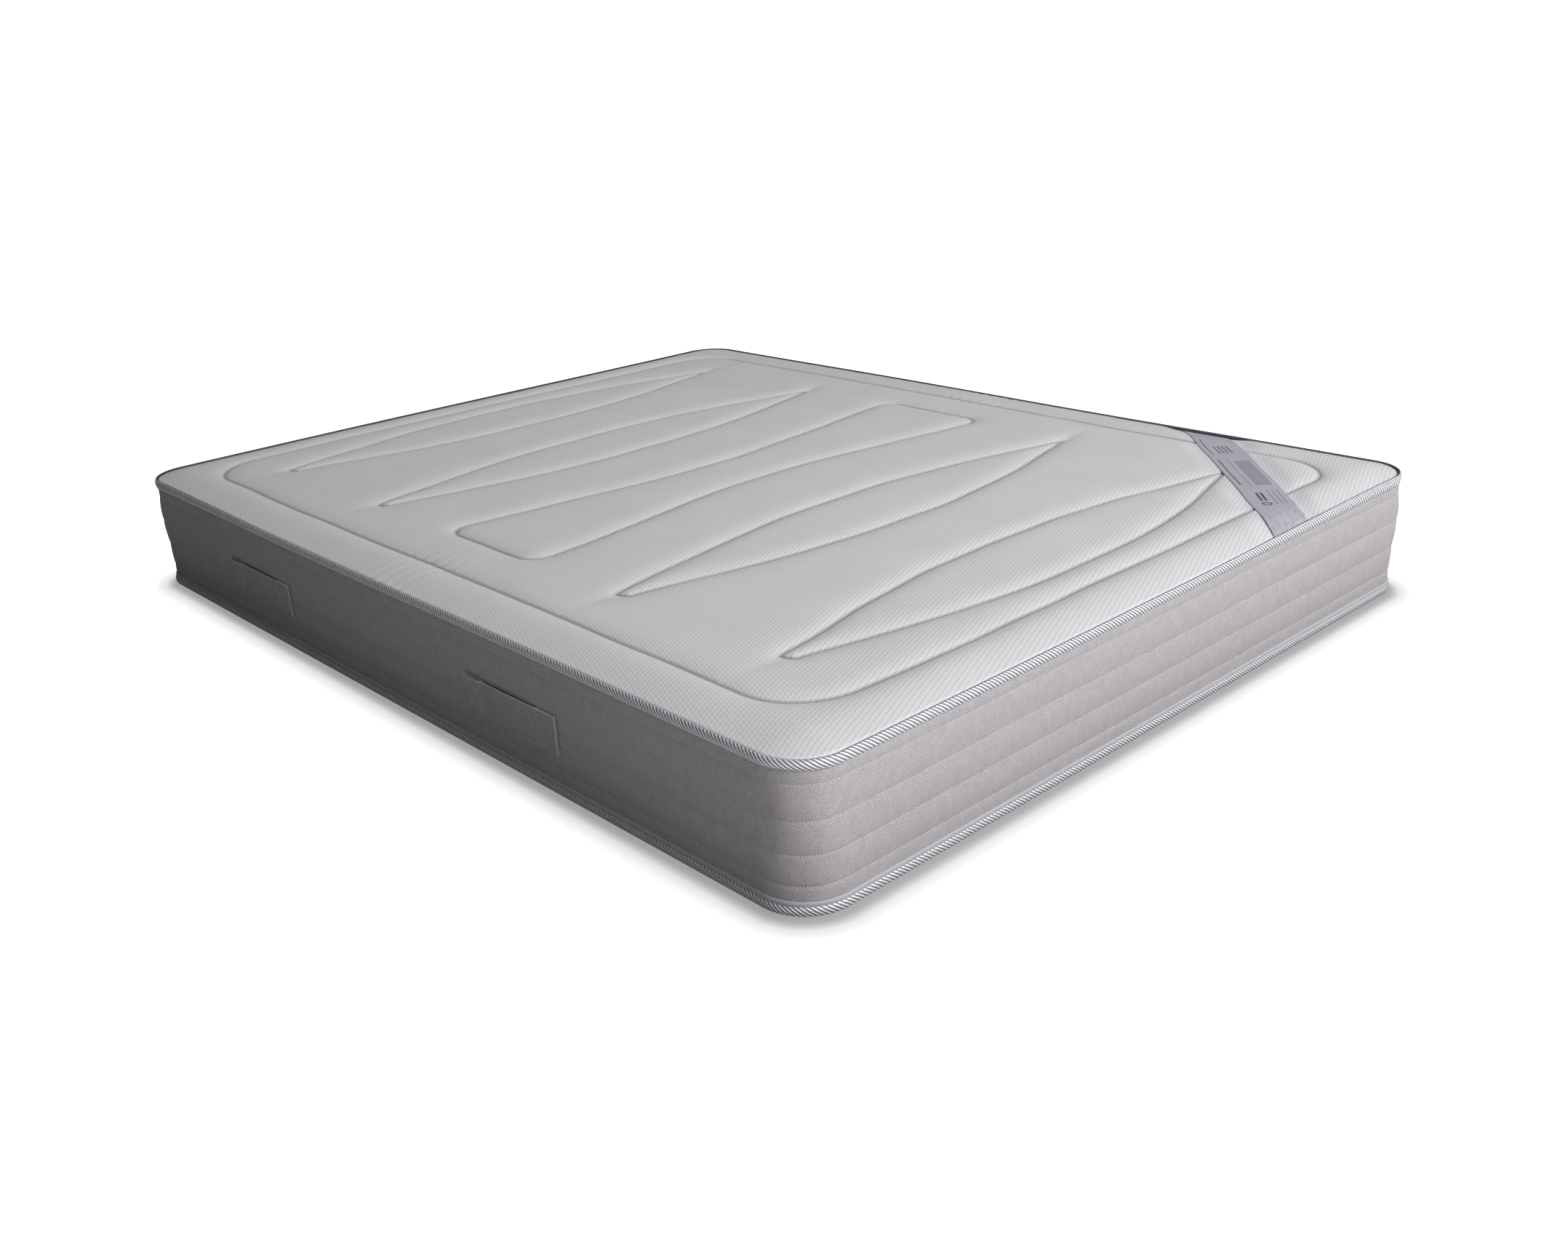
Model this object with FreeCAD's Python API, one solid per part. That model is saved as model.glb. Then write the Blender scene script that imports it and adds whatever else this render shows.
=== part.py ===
import FreeCAD, Part
import os

os.makedirs("parts", exist_ok=True)

# Quilted foam mattress. All sizes in mm. The origin is the middle of the underside,
# +X is across the width, +Y along the length towards the rear, +Z up.

# Overall size, over the edge tapes
WIDTH = 1600.0
LENGTH = 2000.0
HEIGHT = 240.0
TAPE_CORNER = 80.0

# Levels of the layers, from the floor up
BASE_QUILT_TOP = 12.0
BASE_BACKING_TOP = 13.0
CORE_TOP = 172.0
MEMORY_FOAM_TOP = 212.0
TOP_BACKING_TOP = 213.0
BOTTOM_TAPE = (4.0, 26.0)
TOP_TAPE = (213.0, 230.0)

# Insets from the tapes' outer face, so that every corner arc is concentric
TAPE_INNER = 8.5
LIP_STEP = 1.2
PANEL_EDGE = 10.0
BORDER_FACE = 4.0
BORDER_BACK = 6.0
BORDER_FOAM = (6.3, 14.0)
BORDER_BACKING = (14.3, 15.1)
PATCH_THICKNESS = 1.0
CORE_EDGE = 16.5

# Skins and their rounded rims
COVER_THICKNESS = 2.0
TOP_ROUNDING = 14.0
BASE_ROUNDING = 8.0
TAPE_ROUNDING = 2.5
TOP_LIP = 2.5
BOTTOM_LIP = 6.5

# Quilting: a perimeter seam and five motifs across the width, spaced along the length
PERIMETER_INSET = 97.0
PERIMETER_RADIUS = 110.0
MOTIF_PITCH = 375.0
MOTIF_HALF_LENGTH = 585.0
LENS_HALF_WIDTH = 87.0
BONE_END_HALF_WIDTH = 142.5
BONE_WAIST_HALF_WIDTH = 75.0
BONE_CORNER = 40.0
GROOVE_DEPTH = 1.2
GROOVE_HALF_WIDTH = 2.0
SEAM_HALF_WIDTH = 0.6
SEAM_THICKNESS = 0.8

# Stitch rows round the border, and the thread on each tape's lip
BORDER_ROWS = (47.0, 93.0, 143.0, 194.0)
ROW_GROOVE_HEIGHT = 2.0
THREAD_HEIGHT = 1.0
THREAD_THICKNESS = 0.6
CLEARANCE = 0.3

# Handles: sewn at both ends, with a free strap between, two on each long side
HANDLE_CENTRES = {"front": -360.0, "rear": 490.0}
HANDLE_LENGTH = 245.0
HANDLE_LOW = 75.0
HANDLE_HIGH = 137.0
FREE_SPAN = 149.0
STRAP_LENGTH = 120.0
STRAP_THICKNESS = 3.0
STRAP_ROUNDING = 1.2
FINGER_GAP = 7.0
END_THICKNESS = 4.0
END_GAP = 0.5
STITCH_MARGIN = 5.0
STITCH_WIDTH = 1.0
PATCH_MARGIN = 9.0

# Label ribbon, laid at 45 degrees across the front right corner
RIBBON_WIDTH = 76.0
RIBBON_LEG = 450.0
RIBBON_THICKNESS = 0.6
RIBBON_FREE_INSET = 50.0
RIBBON_TUCK = 8.0

V = FreeCAD.Vector
UP = V(0, 0, 1)


def save(name, solids):
    """Write one node, whose separate solids stay separate."""
    shape = solids[0] if len(solids) == 1 else Part.makeCompound(solids)
    shape.exportStep(f"parts/{name}.step")


def slab(inset, low, high):
    """Slab between two levels, its rounded outline inset from the tapes' face."""
    half_x = WIDTH / 2 - inset
    half_y = LENGTH / 2 - inset
    box = Part.makeBox(2 * half_x, 2 * half_y, high - low, V(-half_x, -half_y, low))
    posts = [e for e in box.Edges if e.BoundBox.ZLength > (high - low) / 2]
    return box.makeFillet(TAPE_CORNER - inset, posts)


def rounded_rim(body, level, rounding):
    """Round the edges of a slab that lie at one level."""
    rim = [e for e in body.Edges if abs(e.CenterOfMass.z - level) < 0.01]
    return body.makeFillet(rounding, rim)


def ring(outer_inset, inner_inset, low, high):
    """Closed band round the mattress, between two insets and two levels."""
    return slab(outer_inset, low, high).cut(slab(inner_inset, low, high))


# Quilting loops, as flat wires at level 0

def perimeter_loop():
    """Rounded rectangle that runs parallel to the edges."""
    half_x = WIDTH / 2 - PERIMETER_INSET
    half_y = LENGTH / 2 - PERIMETER_INSET
    box = Part.makeBox(2 * half_x, 2 * half_y, 1, V(-half_x, -half_y, 0))
    posts = [e for e in box.Edges if e.BoundBox.ZLength > 0.5]
    rounded = box.makeFillet(PERIMETER_RADIUS, posts)
    floor = [f for f in rounded.Faces if abs(f.CenterOfMass.z) < 0.01]
    return floor[0].OuterWire


def lens_loop(y):
    """Pointed lens of two arcs, its long axis across the width."""
    left = V(-MOTIF_HALF_LENGTH, y, 0)
    right = V(MOTIF_HALF_LENGTH, y, 0)
    rear = Part.Arc(left, V(0, y + LENS_HALF_WIDTH, 0), right)
    front = Part.Arc(right, V(0, y - LENS_HALF_WIDTH, 0), left)
    return Part.Wire([rear.toShape(), front.toShape()])


def bone_loop():
    """Waisted loop: two broad rounded ends, joined by sides that bow inwards."""
    end = MOTIF_HALF_LENGTH
    shoulder = end - BONE_CORNER
    wide = BONE_END_HALF_WIDTH
    flat = wide - BONE_CORNER
    slant = BONE_CORNER * 0.5 ** 0.5
    edges = []
    for sx in (1, -1):
        edges.append(Part.makeLine(V(sx * end, -flat, 0), V(sx * end, flat, 0)))
        for sy in (1, -1):
            corner_middle = V(sx * (shoulder + slant), sy * (flat + slant), 0)
            start = V(sx * end, sy * flat, 0)
            stop = V(sx * shoulder, sy * wide, 0)
            edges.append(Part.Arc(start, corner_middle, stop).toShape())
    for sy in (1, -1):
        ends = (V(-shoulder, sy * wide, 0), V(shoulder, sy * wide, 0))
        waist = V(0, sy * BONE_WAIST_HALF_WIDTH, 0)
        edges.append(Part.Arc(ends[0], waist, ends[1]).toShape())
    return Part.Wire(Part.__sortEdges__(edges))


def quilt_loops():
    """All six closed seam lines of a quilted panel."""
    lenses = [lens_loop(place * MOTIF_PITCH) for place in (-2, -1, 1, 2)]
    return [perimeter_loop(), bone_loop()] + lenses


def loop_bands(half_width, low, high):
    """A flat band along every quilting loop, between two levels."""
    bands = []
    for loop in quilt_loops():
        outer = Part.Face(loop.makeOffset2D(half_width))
        inner = Part.Face(loop.makeOffset2D(-half_width))
        band = outer.cut(inner).extrude(UP * (high - low))
        band.translate(UP * low)
        bands += band.Solids
    return bands


# Layers, from the floor up

def base_cover():
    """Underside skin: a shallow tray with a rounded rim and quilted grooves."""
    outer = rounded_rim(slab(PANEL_EDGE, 0, BASE_QUILT_TOP), 0, BASE_ROUNDING)
    skin_edge = PANEL_EDGE + COVER_THICKNESS
    filling = slab(skin_edge, COVER_THICKNESS, BASE_QUILT_TOP)
    inner_rounding = BASE_ROUNDING - COVER_THICKNESS
    tray = outer.cut(rounded_rim(filling, COVER_THICKNESS, inner_rounding))
    return tray.cut(Part.makeCompound(loop_bands(GROOVE_HALF_WIDTH, 0, GROOVE_DEPTH)))


def base_quilt_wadding():
    """Thin wadding that fills the underside tray."""
    filling = slab(PANEL_EDGE + COVER_THICKNESS, COVER_THICKNESS, BASE_QUILT_TOP)
    return rounded_rim(filling, COVER_THICKNESS, BASE_ROUNDING - COVER_THICKNESS)


def top_cover():
    """Knitted top skin: a cap with a soft rim and quilted grooves."""
    outer = rounded_rim(slab(PANEL_EDGE, TOP_BACKING_TOP, HEIGHT), HEIGHT, TOP_ROUNDING)
    bands = loop_bands(GROOVE_HALF_WIDTH, HEIGHT - GROOVE_DEPTH, HEIGHT)
    return outer.cut(top_quilt_foam()).cut(Part.makeCompound(bands))


def top_quilt_foam():
    """Soft foam quilted to the top cover."""
    top = HEIGHT - COVER_THICKNESS
    filling = slab(PANEL_EDGE + COVER_THICKNESS, TOP_BACKING_TOP, top)
    return rounded_rim(filling, top, TOP_ROUNDING - COVER_THICKNESS)


# Border and edge tapes

def border_fabric():
    """Woven side band, with a shallow groove for each stitch row."""
    band = ring(BORDER_FACE, BORDER_BACK, BOTTOM_TAPE[1], TOP_TAPE[0])
    for level in BORDER_ROWS:
        low = level - ROW_GROOVE_HEIGHT / 2
        groove = ring(0, BORDER_FACE + GROOVE_DEPTH, low, low + ROW_GROOVE_HEIGHT)
        band = band.cut(groove)
    return band


def border_stitching():
    """One closed row of thread in each groove of the border."""
    outer = BORDER_FACE + CLEARANCE
    half = THREAD_HEIGHT / 2
    inner = outer + THREAD_THICKNESS
    return [ring(outer, inner, level - half, level + half) for level in BORDER_ROWS]


def edge_tape(levels, lip, lip_below):
    """Binding tape: a rounded bead with a thinner sewn lip on the border's side."""
    low, high = levels
    step = low + lip if lip_below else high - lip
    bead_levels = (step, high) if lip_below else (low, step)
    lip_levels = (low, step) if lip_below else (step, high)
    bead = slab(0, *bead_levels)
    for level in bead_levels:
        bead = rounded_rim(bead, level, TAPE_ROUNDING if level != step else LIP_STEP / 2)
    tape = bead.fuse(slab(LIP_STEP, *lip_levels)).cut(slab(TAPE_INNER, low, high))
    return tape.removeSplitter()


def tape_thread(lip_middle):
    """Thread that sews a tape's lip to the border."""
    outer = LIP_STEP - CLEARANCE - THREAD_THICKNESS
    half = THREAD_HEIGHT / 2
    return ring(outer, LIP_STEP - CLEARANCE, lip_middle - half, lip_middle + half)


# Handles, drawn on the +X side round y = 0 and then placed

BORDER_X = WIDTH / 2 - BORDER_FACE
STRAP_X = BORDER_X + FINGER_GAP
HANDLE_HEIGHT = HANDLE_HIGH - HANDLE_LOW


def placed(shape, side, y):
    """Move a handle piece to its place on the right (+1) or left (-1) side."""
    moved = shape.translated(V(0, y, 0))
    return moved if side > 0 else moved.mirror(V(0, 0, 0), V(1, 0, 0))


def both_ends(shape):
    """A piece at the rear end of a handle, and its twin at the front end."""
    return [shape, shape.mirror(V(0, 0, 0), V(0, 1, 0))]


def strap():
    """Free middle of a handle, standing off the border by a finger gap."""
    corner = V(STRAP_X, -STRAP_LENGTH / 2, HANDLE_LOW)
    plate = Part.makeBox(STRAP_THICKNESS, STRAP_LENGTH, HANDLE_HEIGHT, corner)
    long_edges = [e for e in plate.Edges if e.BoundBox.YLength > STRAP_LENGTH / 2]
    return plate.makeFillet(STRAP_ROUNDING, long_edges)


def sewn_end():
    """Sewn end of a handle, with the ramp where the strap leaves the border."""
    tip = HANDLE_LENGTH / 2
    root = FREE_SPAN / 2
    ramp_end = STRAP_LENGTH / 2 + END_GAP
    profile = [
        V(BORDER_X, tip, HANDLE_LOW),
        V(BORDER_X + END_THICKNESS, tip, HANDLE_LOW),
        V(BORDER_X + END_THICKNESS, root + END_GAP, HANDLE_LOW),
        V(STRAP_X + STRAP_THICKNESS, ramp_end, HANDLE_LOW),
        V(STRAP_X, ramp_end, HANDLE_LOW),
        V(BORDER_X, root, HANDLE_LOW),
    ]
    face = Part.Face(Part.makePolygon(profile + profile[:1]))
    return face.extrude(UP * HANDLE_HEIGHT)


def thread_bar(start, stop):
    """Straight thread on a sewn end's face, between two (y, z) points."""
    run = stop - start
    across = run.cross(V(1, 0, 0)).normalize() * (STITCH_WIDTH / 2)
    corners = [start + across, stop + across, stop - across, start - across]
    face = Part.Face(Part.makePolygon(corners + corners[:1]))
    return face.extrude(V(THREAD_THICKNESS, 0, 0))


def box_stitch():
    """Sewn box with a cross in it, on the face of a handle's end."""
    x = BORDER_X + END_THICKNESS
    near = FREE_SPAN / 2 + STITCH_MARGIN
    far = HANDLE_LENGTH / 2 - STITCH_MARGIN
    low = HANDLE_LOW + STITCH_MARGIN
    high = HANDLE_HIGH - STITCH_MARGIN
    frame = Part.makeBox(THREAD_THICKNESS, far - near, high - low, V(x, near, low))
    hollow = Part.makeBox(
        THREAD_THICKNESS,
        far - near - 2 * STITCH_WIDTH,
        high - low - 2 * STITCH_WIDTH,
        V(x, near + STITCH_WIDTH, low + STITCH_WIDTH),
    )
    half = STITCH_WIDTH / 2
    corners = [V(x, y, z) for y in (near + half, far - half) for z in (low + half, high - half)]
    cross = [thread_bar(corners[0], corners[3]), thread_bar(corners[1], corners[2])]
    return frame.cut(hollow).fuse(cross).removeSplitter()


def backing_patch():
    """Reinforcement behind the border, where a handle's end is sewn through."""
    x = WIDTH / 2 - BORDER_BACKING[1] - PATCH_THICKNESS
    near = FREE_SPAN / 2 - PATCH_MARGIN
    width = HANDLE_LENGTH / 2 + PATCH_MARGIN - near
    corner = V(x, near, HANDLE_LOW - PATCH_MARGIN)
    return Part.makeBox(PATCH_THICKNESS, width, HANDLE_HEIGHT + 2 * PATCH_MARGIN, corner)


def save_handles():
    """Strap, sewn ends and stitching of each handle, and all the patches."""
    patches = []
    for side_name, side in (("left", -1), ("right", 1)):
        for place, y in HANDLE_CENTRES.items():
            tag = f"{side_name}_{place}"
            save(f"handle_strap_{tag}", [placed(strap(), side, y)])
            ends = [placed(end, side, y) for end in both_ends(sewn_end())]
            save(f"handle_ends_{tag}", ends)
            boxes = [placed(box, side, y) for box in both_ends(box_stitch())]
            save(f"handle_stitching_{tag}", boxes)
            patches += [placed(patch, side, y) for patch in both_ends(backing_patch())]
    save("handle_backing_patches", patches)


# Label ribbon

def ribbon_layer():
    """The whole ribbon: a strip of a thin layer that follows the panel's rim."""
    near = PANEL_EDGE - CLEARANCE
    far = near - RIBBON_THICKNESS
    low = TOP_TAPE[1] - RIBBON_TUCK
    under = HEIGHT + CLEARANCE
    over = under + RIBBON_THICKNESS
    outer = rounded_rim(slab(far, low, over), over, TOP_ROUNDING + CLEARANCE + RIBBON_THICKNESS)
    inner = rounded_rim(slab(near, low, under), under, TOP_ROUNDING + CLEARANCE)
    reach = 2 * RIBBON_LEG
    strip = Part.makeBox(RIBBON_WIDTH, reach, HEIGHT, V(-RIBBON_WIDTH / 2, -reach / 2, low))
    strip.rotate(V(0, 0, 0), UP, -45)
    corner = V(WIDTH / 2, -LENGTH / 2, 0)
    strip.translate(corner + V(-RIBBON_LEG / 2, RIBBON_LEG / 2, 0))
    return outer.cut(inner).common(strip)


def save_ribbon():
    """Free middle of the ribbon, and its two ends tucked behind the tape."""
    layer = ribbon_layer()
    low = TOP_TAPE[1] - RIBBON_TUCK
    high = HEIGHT + RIBBON_TUCK
    free = layer.common(slab(RIBBON_FREE_INSET, low, high))
    ends = layer.cut(slab(RIBBON_FREE_INSET - END_GAP, low, high))
    save("label_ribbon", free.Solids)
    save("label_ribbon_ends", ends.Solids)


def save_layers():
    """Quilted panels, backings and foam, from the floor up."""
    base_seams = (GROOVE_DEPTH - SEAM_THICKNESS, GROOVE_DEPTH)
    top_floor = HEIGHT - GROOVE_DEPTH
    top_seams = (top_floor, top_floor + SEAM_THICKNESS)
    save("base_cover", [base_cover()])
    save("base_quilt_stitching", loop_bands(SEAM_HALF_WIDTH, *base_seams))
    save("base_quilt_wadding", [base_quilt_wadding()])
    save("base_quilt_backing", [slab(PANEL_EDGE, BASE_QUILT_TOP, BASE_BACKING_TOP)])
    save("support_core", [slab(CORE_EDGE, BASE_BACKING_TOP, CORE_TOP)])
    save("memory_foam_layer", [slab(CORE_EDGE, CORE_TOP, MEMORY_FOAM_TOP)])
    save("top_quilt_backing", [slab(PANEL_EDGE, MEMORY_FOAM_TOP, TOP_BACKING_TOP)])
    save("top_quilt_foam", [top_quilt_foam()])
    save("top_cover", [top_cover()])
    save("top_quilt_stitching", loop_bands(SEAM_HALF_WIDTH, *top_seams))


def save_border():
    """Border layers between the tapes and under the top quilt, the tapes and their threads."""
    low, high = BOTTOM_TAPE[1], MEMORY_FOAM_TOP - CLEARANCE
    save("border_fabric", [border_fabric()])
    save("border_stitching", border_stitching())
    save("border_foam", [ring(*BORDER_FOAM, low, high)])
    save("border_backing", [ring(*BORDER_BACKING, low, high)])
    save("top_edge_tape", [edge_tape(TOP_TAPE, TOP_LIP, True)])
    save("bottom_edge_tape", [edge_tape(BOTTOM_TAPE, BOTTOM_LIP, False)])
    save("top_tape_thread", [tape_thread(TOP_TAPE[0] + TOP_LIP / 2)])
    save("bottom_tape_thread", [tape_thread(BOTTOM_TAPE[1] - BOTTOM_LIP / 2)])


save_layers()
save_border()
save_handles()
save_ribbon()
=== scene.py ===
import math
import bpy
import numpy as np
from mathutils import Matrix, Vector, noise
from mathutils.geometry import delaunay_2d_cdt
from mathutils.kdtree import KDTree


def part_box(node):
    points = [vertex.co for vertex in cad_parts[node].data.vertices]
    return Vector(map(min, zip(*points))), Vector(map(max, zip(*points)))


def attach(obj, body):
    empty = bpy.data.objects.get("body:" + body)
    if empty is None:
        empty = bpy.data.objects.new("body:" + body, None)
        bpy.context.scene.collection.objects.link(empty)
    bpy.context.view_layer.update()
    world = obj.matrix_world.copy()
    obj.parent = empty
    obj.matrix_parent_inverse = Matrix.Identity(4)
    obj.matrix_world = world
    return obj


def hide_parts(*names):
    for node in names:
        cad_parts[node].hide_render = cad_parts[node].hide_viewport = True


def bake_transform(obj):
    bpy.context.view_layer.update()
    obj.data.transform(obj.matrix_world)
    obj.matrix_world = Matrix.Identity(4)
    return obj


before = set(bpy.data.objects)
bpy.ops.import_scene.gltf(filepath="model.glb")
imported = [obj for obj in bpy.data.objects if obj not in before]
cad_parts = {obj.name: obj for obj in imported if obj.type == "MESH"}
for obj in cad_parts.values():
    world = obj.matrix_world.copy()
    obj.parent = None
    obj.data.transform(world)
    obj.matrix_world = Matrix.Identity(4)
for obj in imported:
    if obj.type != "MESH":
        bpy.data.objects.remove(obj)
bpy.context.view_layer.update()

# Sizes, in metres

BODY = "mattress"
CORNER = 0.080                                # plan radius of the tapes, as in the CAD
tape_low, tape_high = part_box("top_edge_tape")
foot_low, foot_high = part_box("bottom_edge_tape")
cover_low, cover_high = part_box("top_cover")
base_low, base_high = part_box("base_cover")
side_low, side_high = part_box("border_fabric")
HALF_X, HALF_Y = tape_high.x, tape_high.y
PANEL_INSET = HALF_X - cover_high.x
RIM_BULGE = 0.0045                            # how far the top's filled rim swells over the tape
BORDER_INSET = HALF_X - side_high.x
TOP = cover_high.z

# Quilting seams, drawn as polygons with rounded corners
PERIMETER_INSET = 0.097
MOTIF_PITCH = 0.375
LENS_LINES = [k * MOTIF_PITCH for k in (-2, -1, 1, 2)]
LENS_TIP_FAR = 0.560
LENS_TIP_NEAR = -0.583
LENS_BLUNT = 0.012
LENS_SHOULDER = 0.205
LENS_HALF_WIDTH = 0.088
BONE_HALF_LENGTH = 0.585
BONE_END = 0.140
BONE_WAIST = 0.073
SEAM_STEP = 0.005
SEAM_SHADE_WIDTH = 0.0032                            # half the width of the painted shade along each seam's groove
SEAM_ROWS = (0.0010, 0.0030, 0.0062, 0.0105)

# The ribbon's line across the corner at +X, -Y
DIAGONAL = np.array([1.0, 1.0]) / math.sqrt(2)
ACROSS = np.array([1.0, -1.0]) / math.sqrt(2)
RIBBON_MIDDLE = np.array([0.575, -0.775])
RIBBON_HALF_WIDTH = 0.038
RIBBON_SINK = 0.0034                          # how far it presses the quilting down
RIBBON_LENGTH = 0.65

# The quilted panels' section
RIM_SLOPE = 0.062                             # how far in from the rim the top is level
SLOT = 0.06                                   # the stitches' own slot, as a share of a seam's depth
SLOT_WIDTH = 0.0011
RIM_TUCK = 0.0022                             # how far the skin is drawn in where the tape is sewn on
RIM_ROW = 0.0045                              # distance from the fold to the first row of points inside it
LONG_SIDE_SWELL = 0.0028                      # how much more the rim bulges on the long sides

# Stitches: pitch, length and radius
TOP_STITCH = (0.0052, 0.0043, 0.00042)
BASE_STITCH = (0.0070, 0.0056, 0.00040)
ROW_STITCH = (0.0046, 0.0029, 0.00052)
TAPE_STITCH = (0.0042, 0.0030, 0.00035)
STRAP_STITCH = (0.0034, 0.0028, 0.00042)

# The slow unevenness of the whole object
SETTLE_HEIGHT = 0.0016
SETTLE_BOW = 0.0010


# Small numeric helpers

def smooth(low, high, x):
    """0 below low, 1 above high, with a soft step between."""
    t = np.clip((x - low) / (high - low), 0, 1)
    return t * t * (3 - 2 * t)


def swell(points, size, seed):
    """Smooth noise from -1 to 1 at an (n, 3) array of points; size is a bump's width."""
    shift = Vector((seed * 7.31, seed * 3.17, seed * 5.53))
    return np.array([noise.noise(Vector(p) / size + shift) for p in points])


def raised(plan, height):
    """Columns of plan values with one more, the same for all rows or one per row."""
    return np.column_stack([plan, np.broadcast_to(height, len(plan))])


def flat_swell(x, y, size, seed):
    """The same noise on a plane."""
    return swell(raised(np.column_stack([x, y]), 0.0), size, seed)


def plan_distance(points, others):
    """Distance in plan from each point to the nearest of the others."""
    tree = KDTree(len(others))
    for k, p in enumerate(others):
        tree.insert((p[0], p[1], 0), k)
    tree.balance()
    return np.array([tree.find((p[0], p[1], 0))[2] for p in points])


# Straight and round stretches of the tapes' outline, anticlockwise from the rear edge's middle
RIM_A, RIM_B = HALF_X - CORNER, HALF_Y - CORNER
RIM_ARC = CORNER * math.pi / 2
RIM_STRETCHES = [RIM_A, RIM_ARC, 2 * RIM_B, RIM_ARC, 2 * RIM_A, RIM_ARC, 2 * RIM_B, RIM_ARC, RIM_A]
RIM_LENGTH = sum(RIM_STRETCHES)


def rim(s):
    """Points and outward normals of the tapes' outline, s metres round."""
    s = np.mod(s, RIM_LENGTH)
    point, normal = np.zeros((len(s), 2)), np.zeros((len(s), 2))
    at, heading, begin = np.array([0.0, HALF_Y]), math.pi, 0.0
    for k, length in enumerate(RIM_STRETCHES):
        inside = (s >= begin - 1e-9) & (s <= begin + length + 1e-9)
        along = s[inside] - begin
        turn = (along / CORNER if k % 2 else 0 * along) + heading
        outward = np.column_stack([np.sin(turn), -np.cos(turn)])
        start_out = np.array([math.sin(heading), -math.cos(heading)])
        if k % 2:
            point[inside] = at - start_out * CORNER + outward * CORNER
            end = at - start_out * CORNER
            heading += math.pi / 2
            at = end + np.array([math.sin(heading), -math.cos(heading)]) * CORNER
        else:
            ahead = np.array([math.cos(heading), math.sin(heading)])
            point[inside] = at + along[:, None] * ahead
            at = at + length * ahead
        normal[inside] = outward
        begin += length
    return point, normal


def inset_of(x, y):
    """How far inside the tapes' outline a point is, and the outward direction there."""
    qx, qy = np.abs(x) - RIM_A, np.abs(y) - RIM_B
    in_corner = (qx > 0) & (qy > 0)
    away = np.hypot(qx, qy) + 1e-12
    inset = np.where(in_corner, CORNER - away, CORNER - np.maximum(qx, qy))
    nx = np.where(in_corner, qx / away, (qx >= qy) * 1.0)
    ny = np.where(in_corner, qy / away, (qx < qy) * 1.0)
    return inset, np.column_stack([nx * np.sign(x), ny * np.sign(y)])


def settled(points):
    """The slow unevenness that every soft layer shares: edges wave a little in plan and height."""
    p = np.asarray(points, float).copy()
    x, y, z = p.T
    inset, out = inset_of(x, y)
    height = smooth(0.02, 0.21, z)
    edge = np.exp(-np.clip(inset, 0, 1) / 0.08)
    wave = np.sin(3.1 * x + 2.0 * y + 0.6) * 0.5 + np.sin(5.2 * y - 2.3 * x + 1.9) * 0.5
    bow = np.sin(2.4 * y + 1.1 * x - 0.8) * 0.6 + np.sin(4.3 * x - 3.1 * y + 0.4) * 0.4
    p[:, 2] += SETTLE_HEIGHT * wave * height
    p[:, :2] += out * (SETTLE_BOW * (1 + bow) * edge * (0.35 + 0.65 * height))[:, None]
    return p


# Meshes

def mesh_piece(name, points, faces, uv=None):
    """A new object from points and faces; uv gives one pair per point."""
    mesh = bpy.data.meshes.new(name)
    mesh.from_pydata(np.asarray(points, float).tolist(), [], faces)
    if uv is not None:
        corner = np.zeros(len(mesh.loops), np.int32)
        mesh.loops.foreach_get("vertex_index", corner)
        layer = mesh.uv_layers.new(name="flat")
        layer.data.foreach_set("uv", np.asarray(uv, np.float32)[corner].ravel())
    mesh.polygons.foreach_set("use_smooth", [True] * len(mesh.polygons))
    mesh.validate()
    piece = bpy.data.objects.new(name, mesh)
    bpy.context.scene.collection.objects.link(piece)
    return piece


def mark_seam_shade(piece, distance):
    """Store how close each point is to a seam, for the painted shade along the seam's groove in the knit."""
    layer = piece.data.attributes.new("seam", "FLOAT", "POINT")
    values = np.zeros(len(piece.data.vertices), np.float32)
    values[:len(distance)] = np.exp(-(distance / SEAM_SHADE_WIDTH) ** 3)
    layer.data.foreach_set("value", values)


def points_of(piece):
    co = np.zeros(len(piece.data.vertices) * 3, np.float32)
    piece.data.vertices.foreach_get("co", co)
    return co.reshape(-1, 3).astype(float)


def set_points(piece, points):
    piece.data.vertices.foreach_set("co", np.asarray(points, np.float32).ravel())
    piece.data.update()


def ring_faces(rows, columns, close_rows=False):
    """Quads of a grid stored row by row, where every row is a closed ring."""
    faces = []
    for i in range(rows if close_rows else rows - 1):
        this, following = i * columns, (i + 1) % rows * columns
        for j in range(columns):
            k = (j + 1) % columns
            faces.append((this + j, this + k, following + k, following + j))
    return faces


def finished(piece, material, nodes, body=BODY):
    """Material, slot, replaced CAD nodes and body of a piece, in one place."""
    piece.data.materials.append(material)
    if body:
        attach(piece, body)
    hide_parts(*nodes)
    return piece


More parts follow.
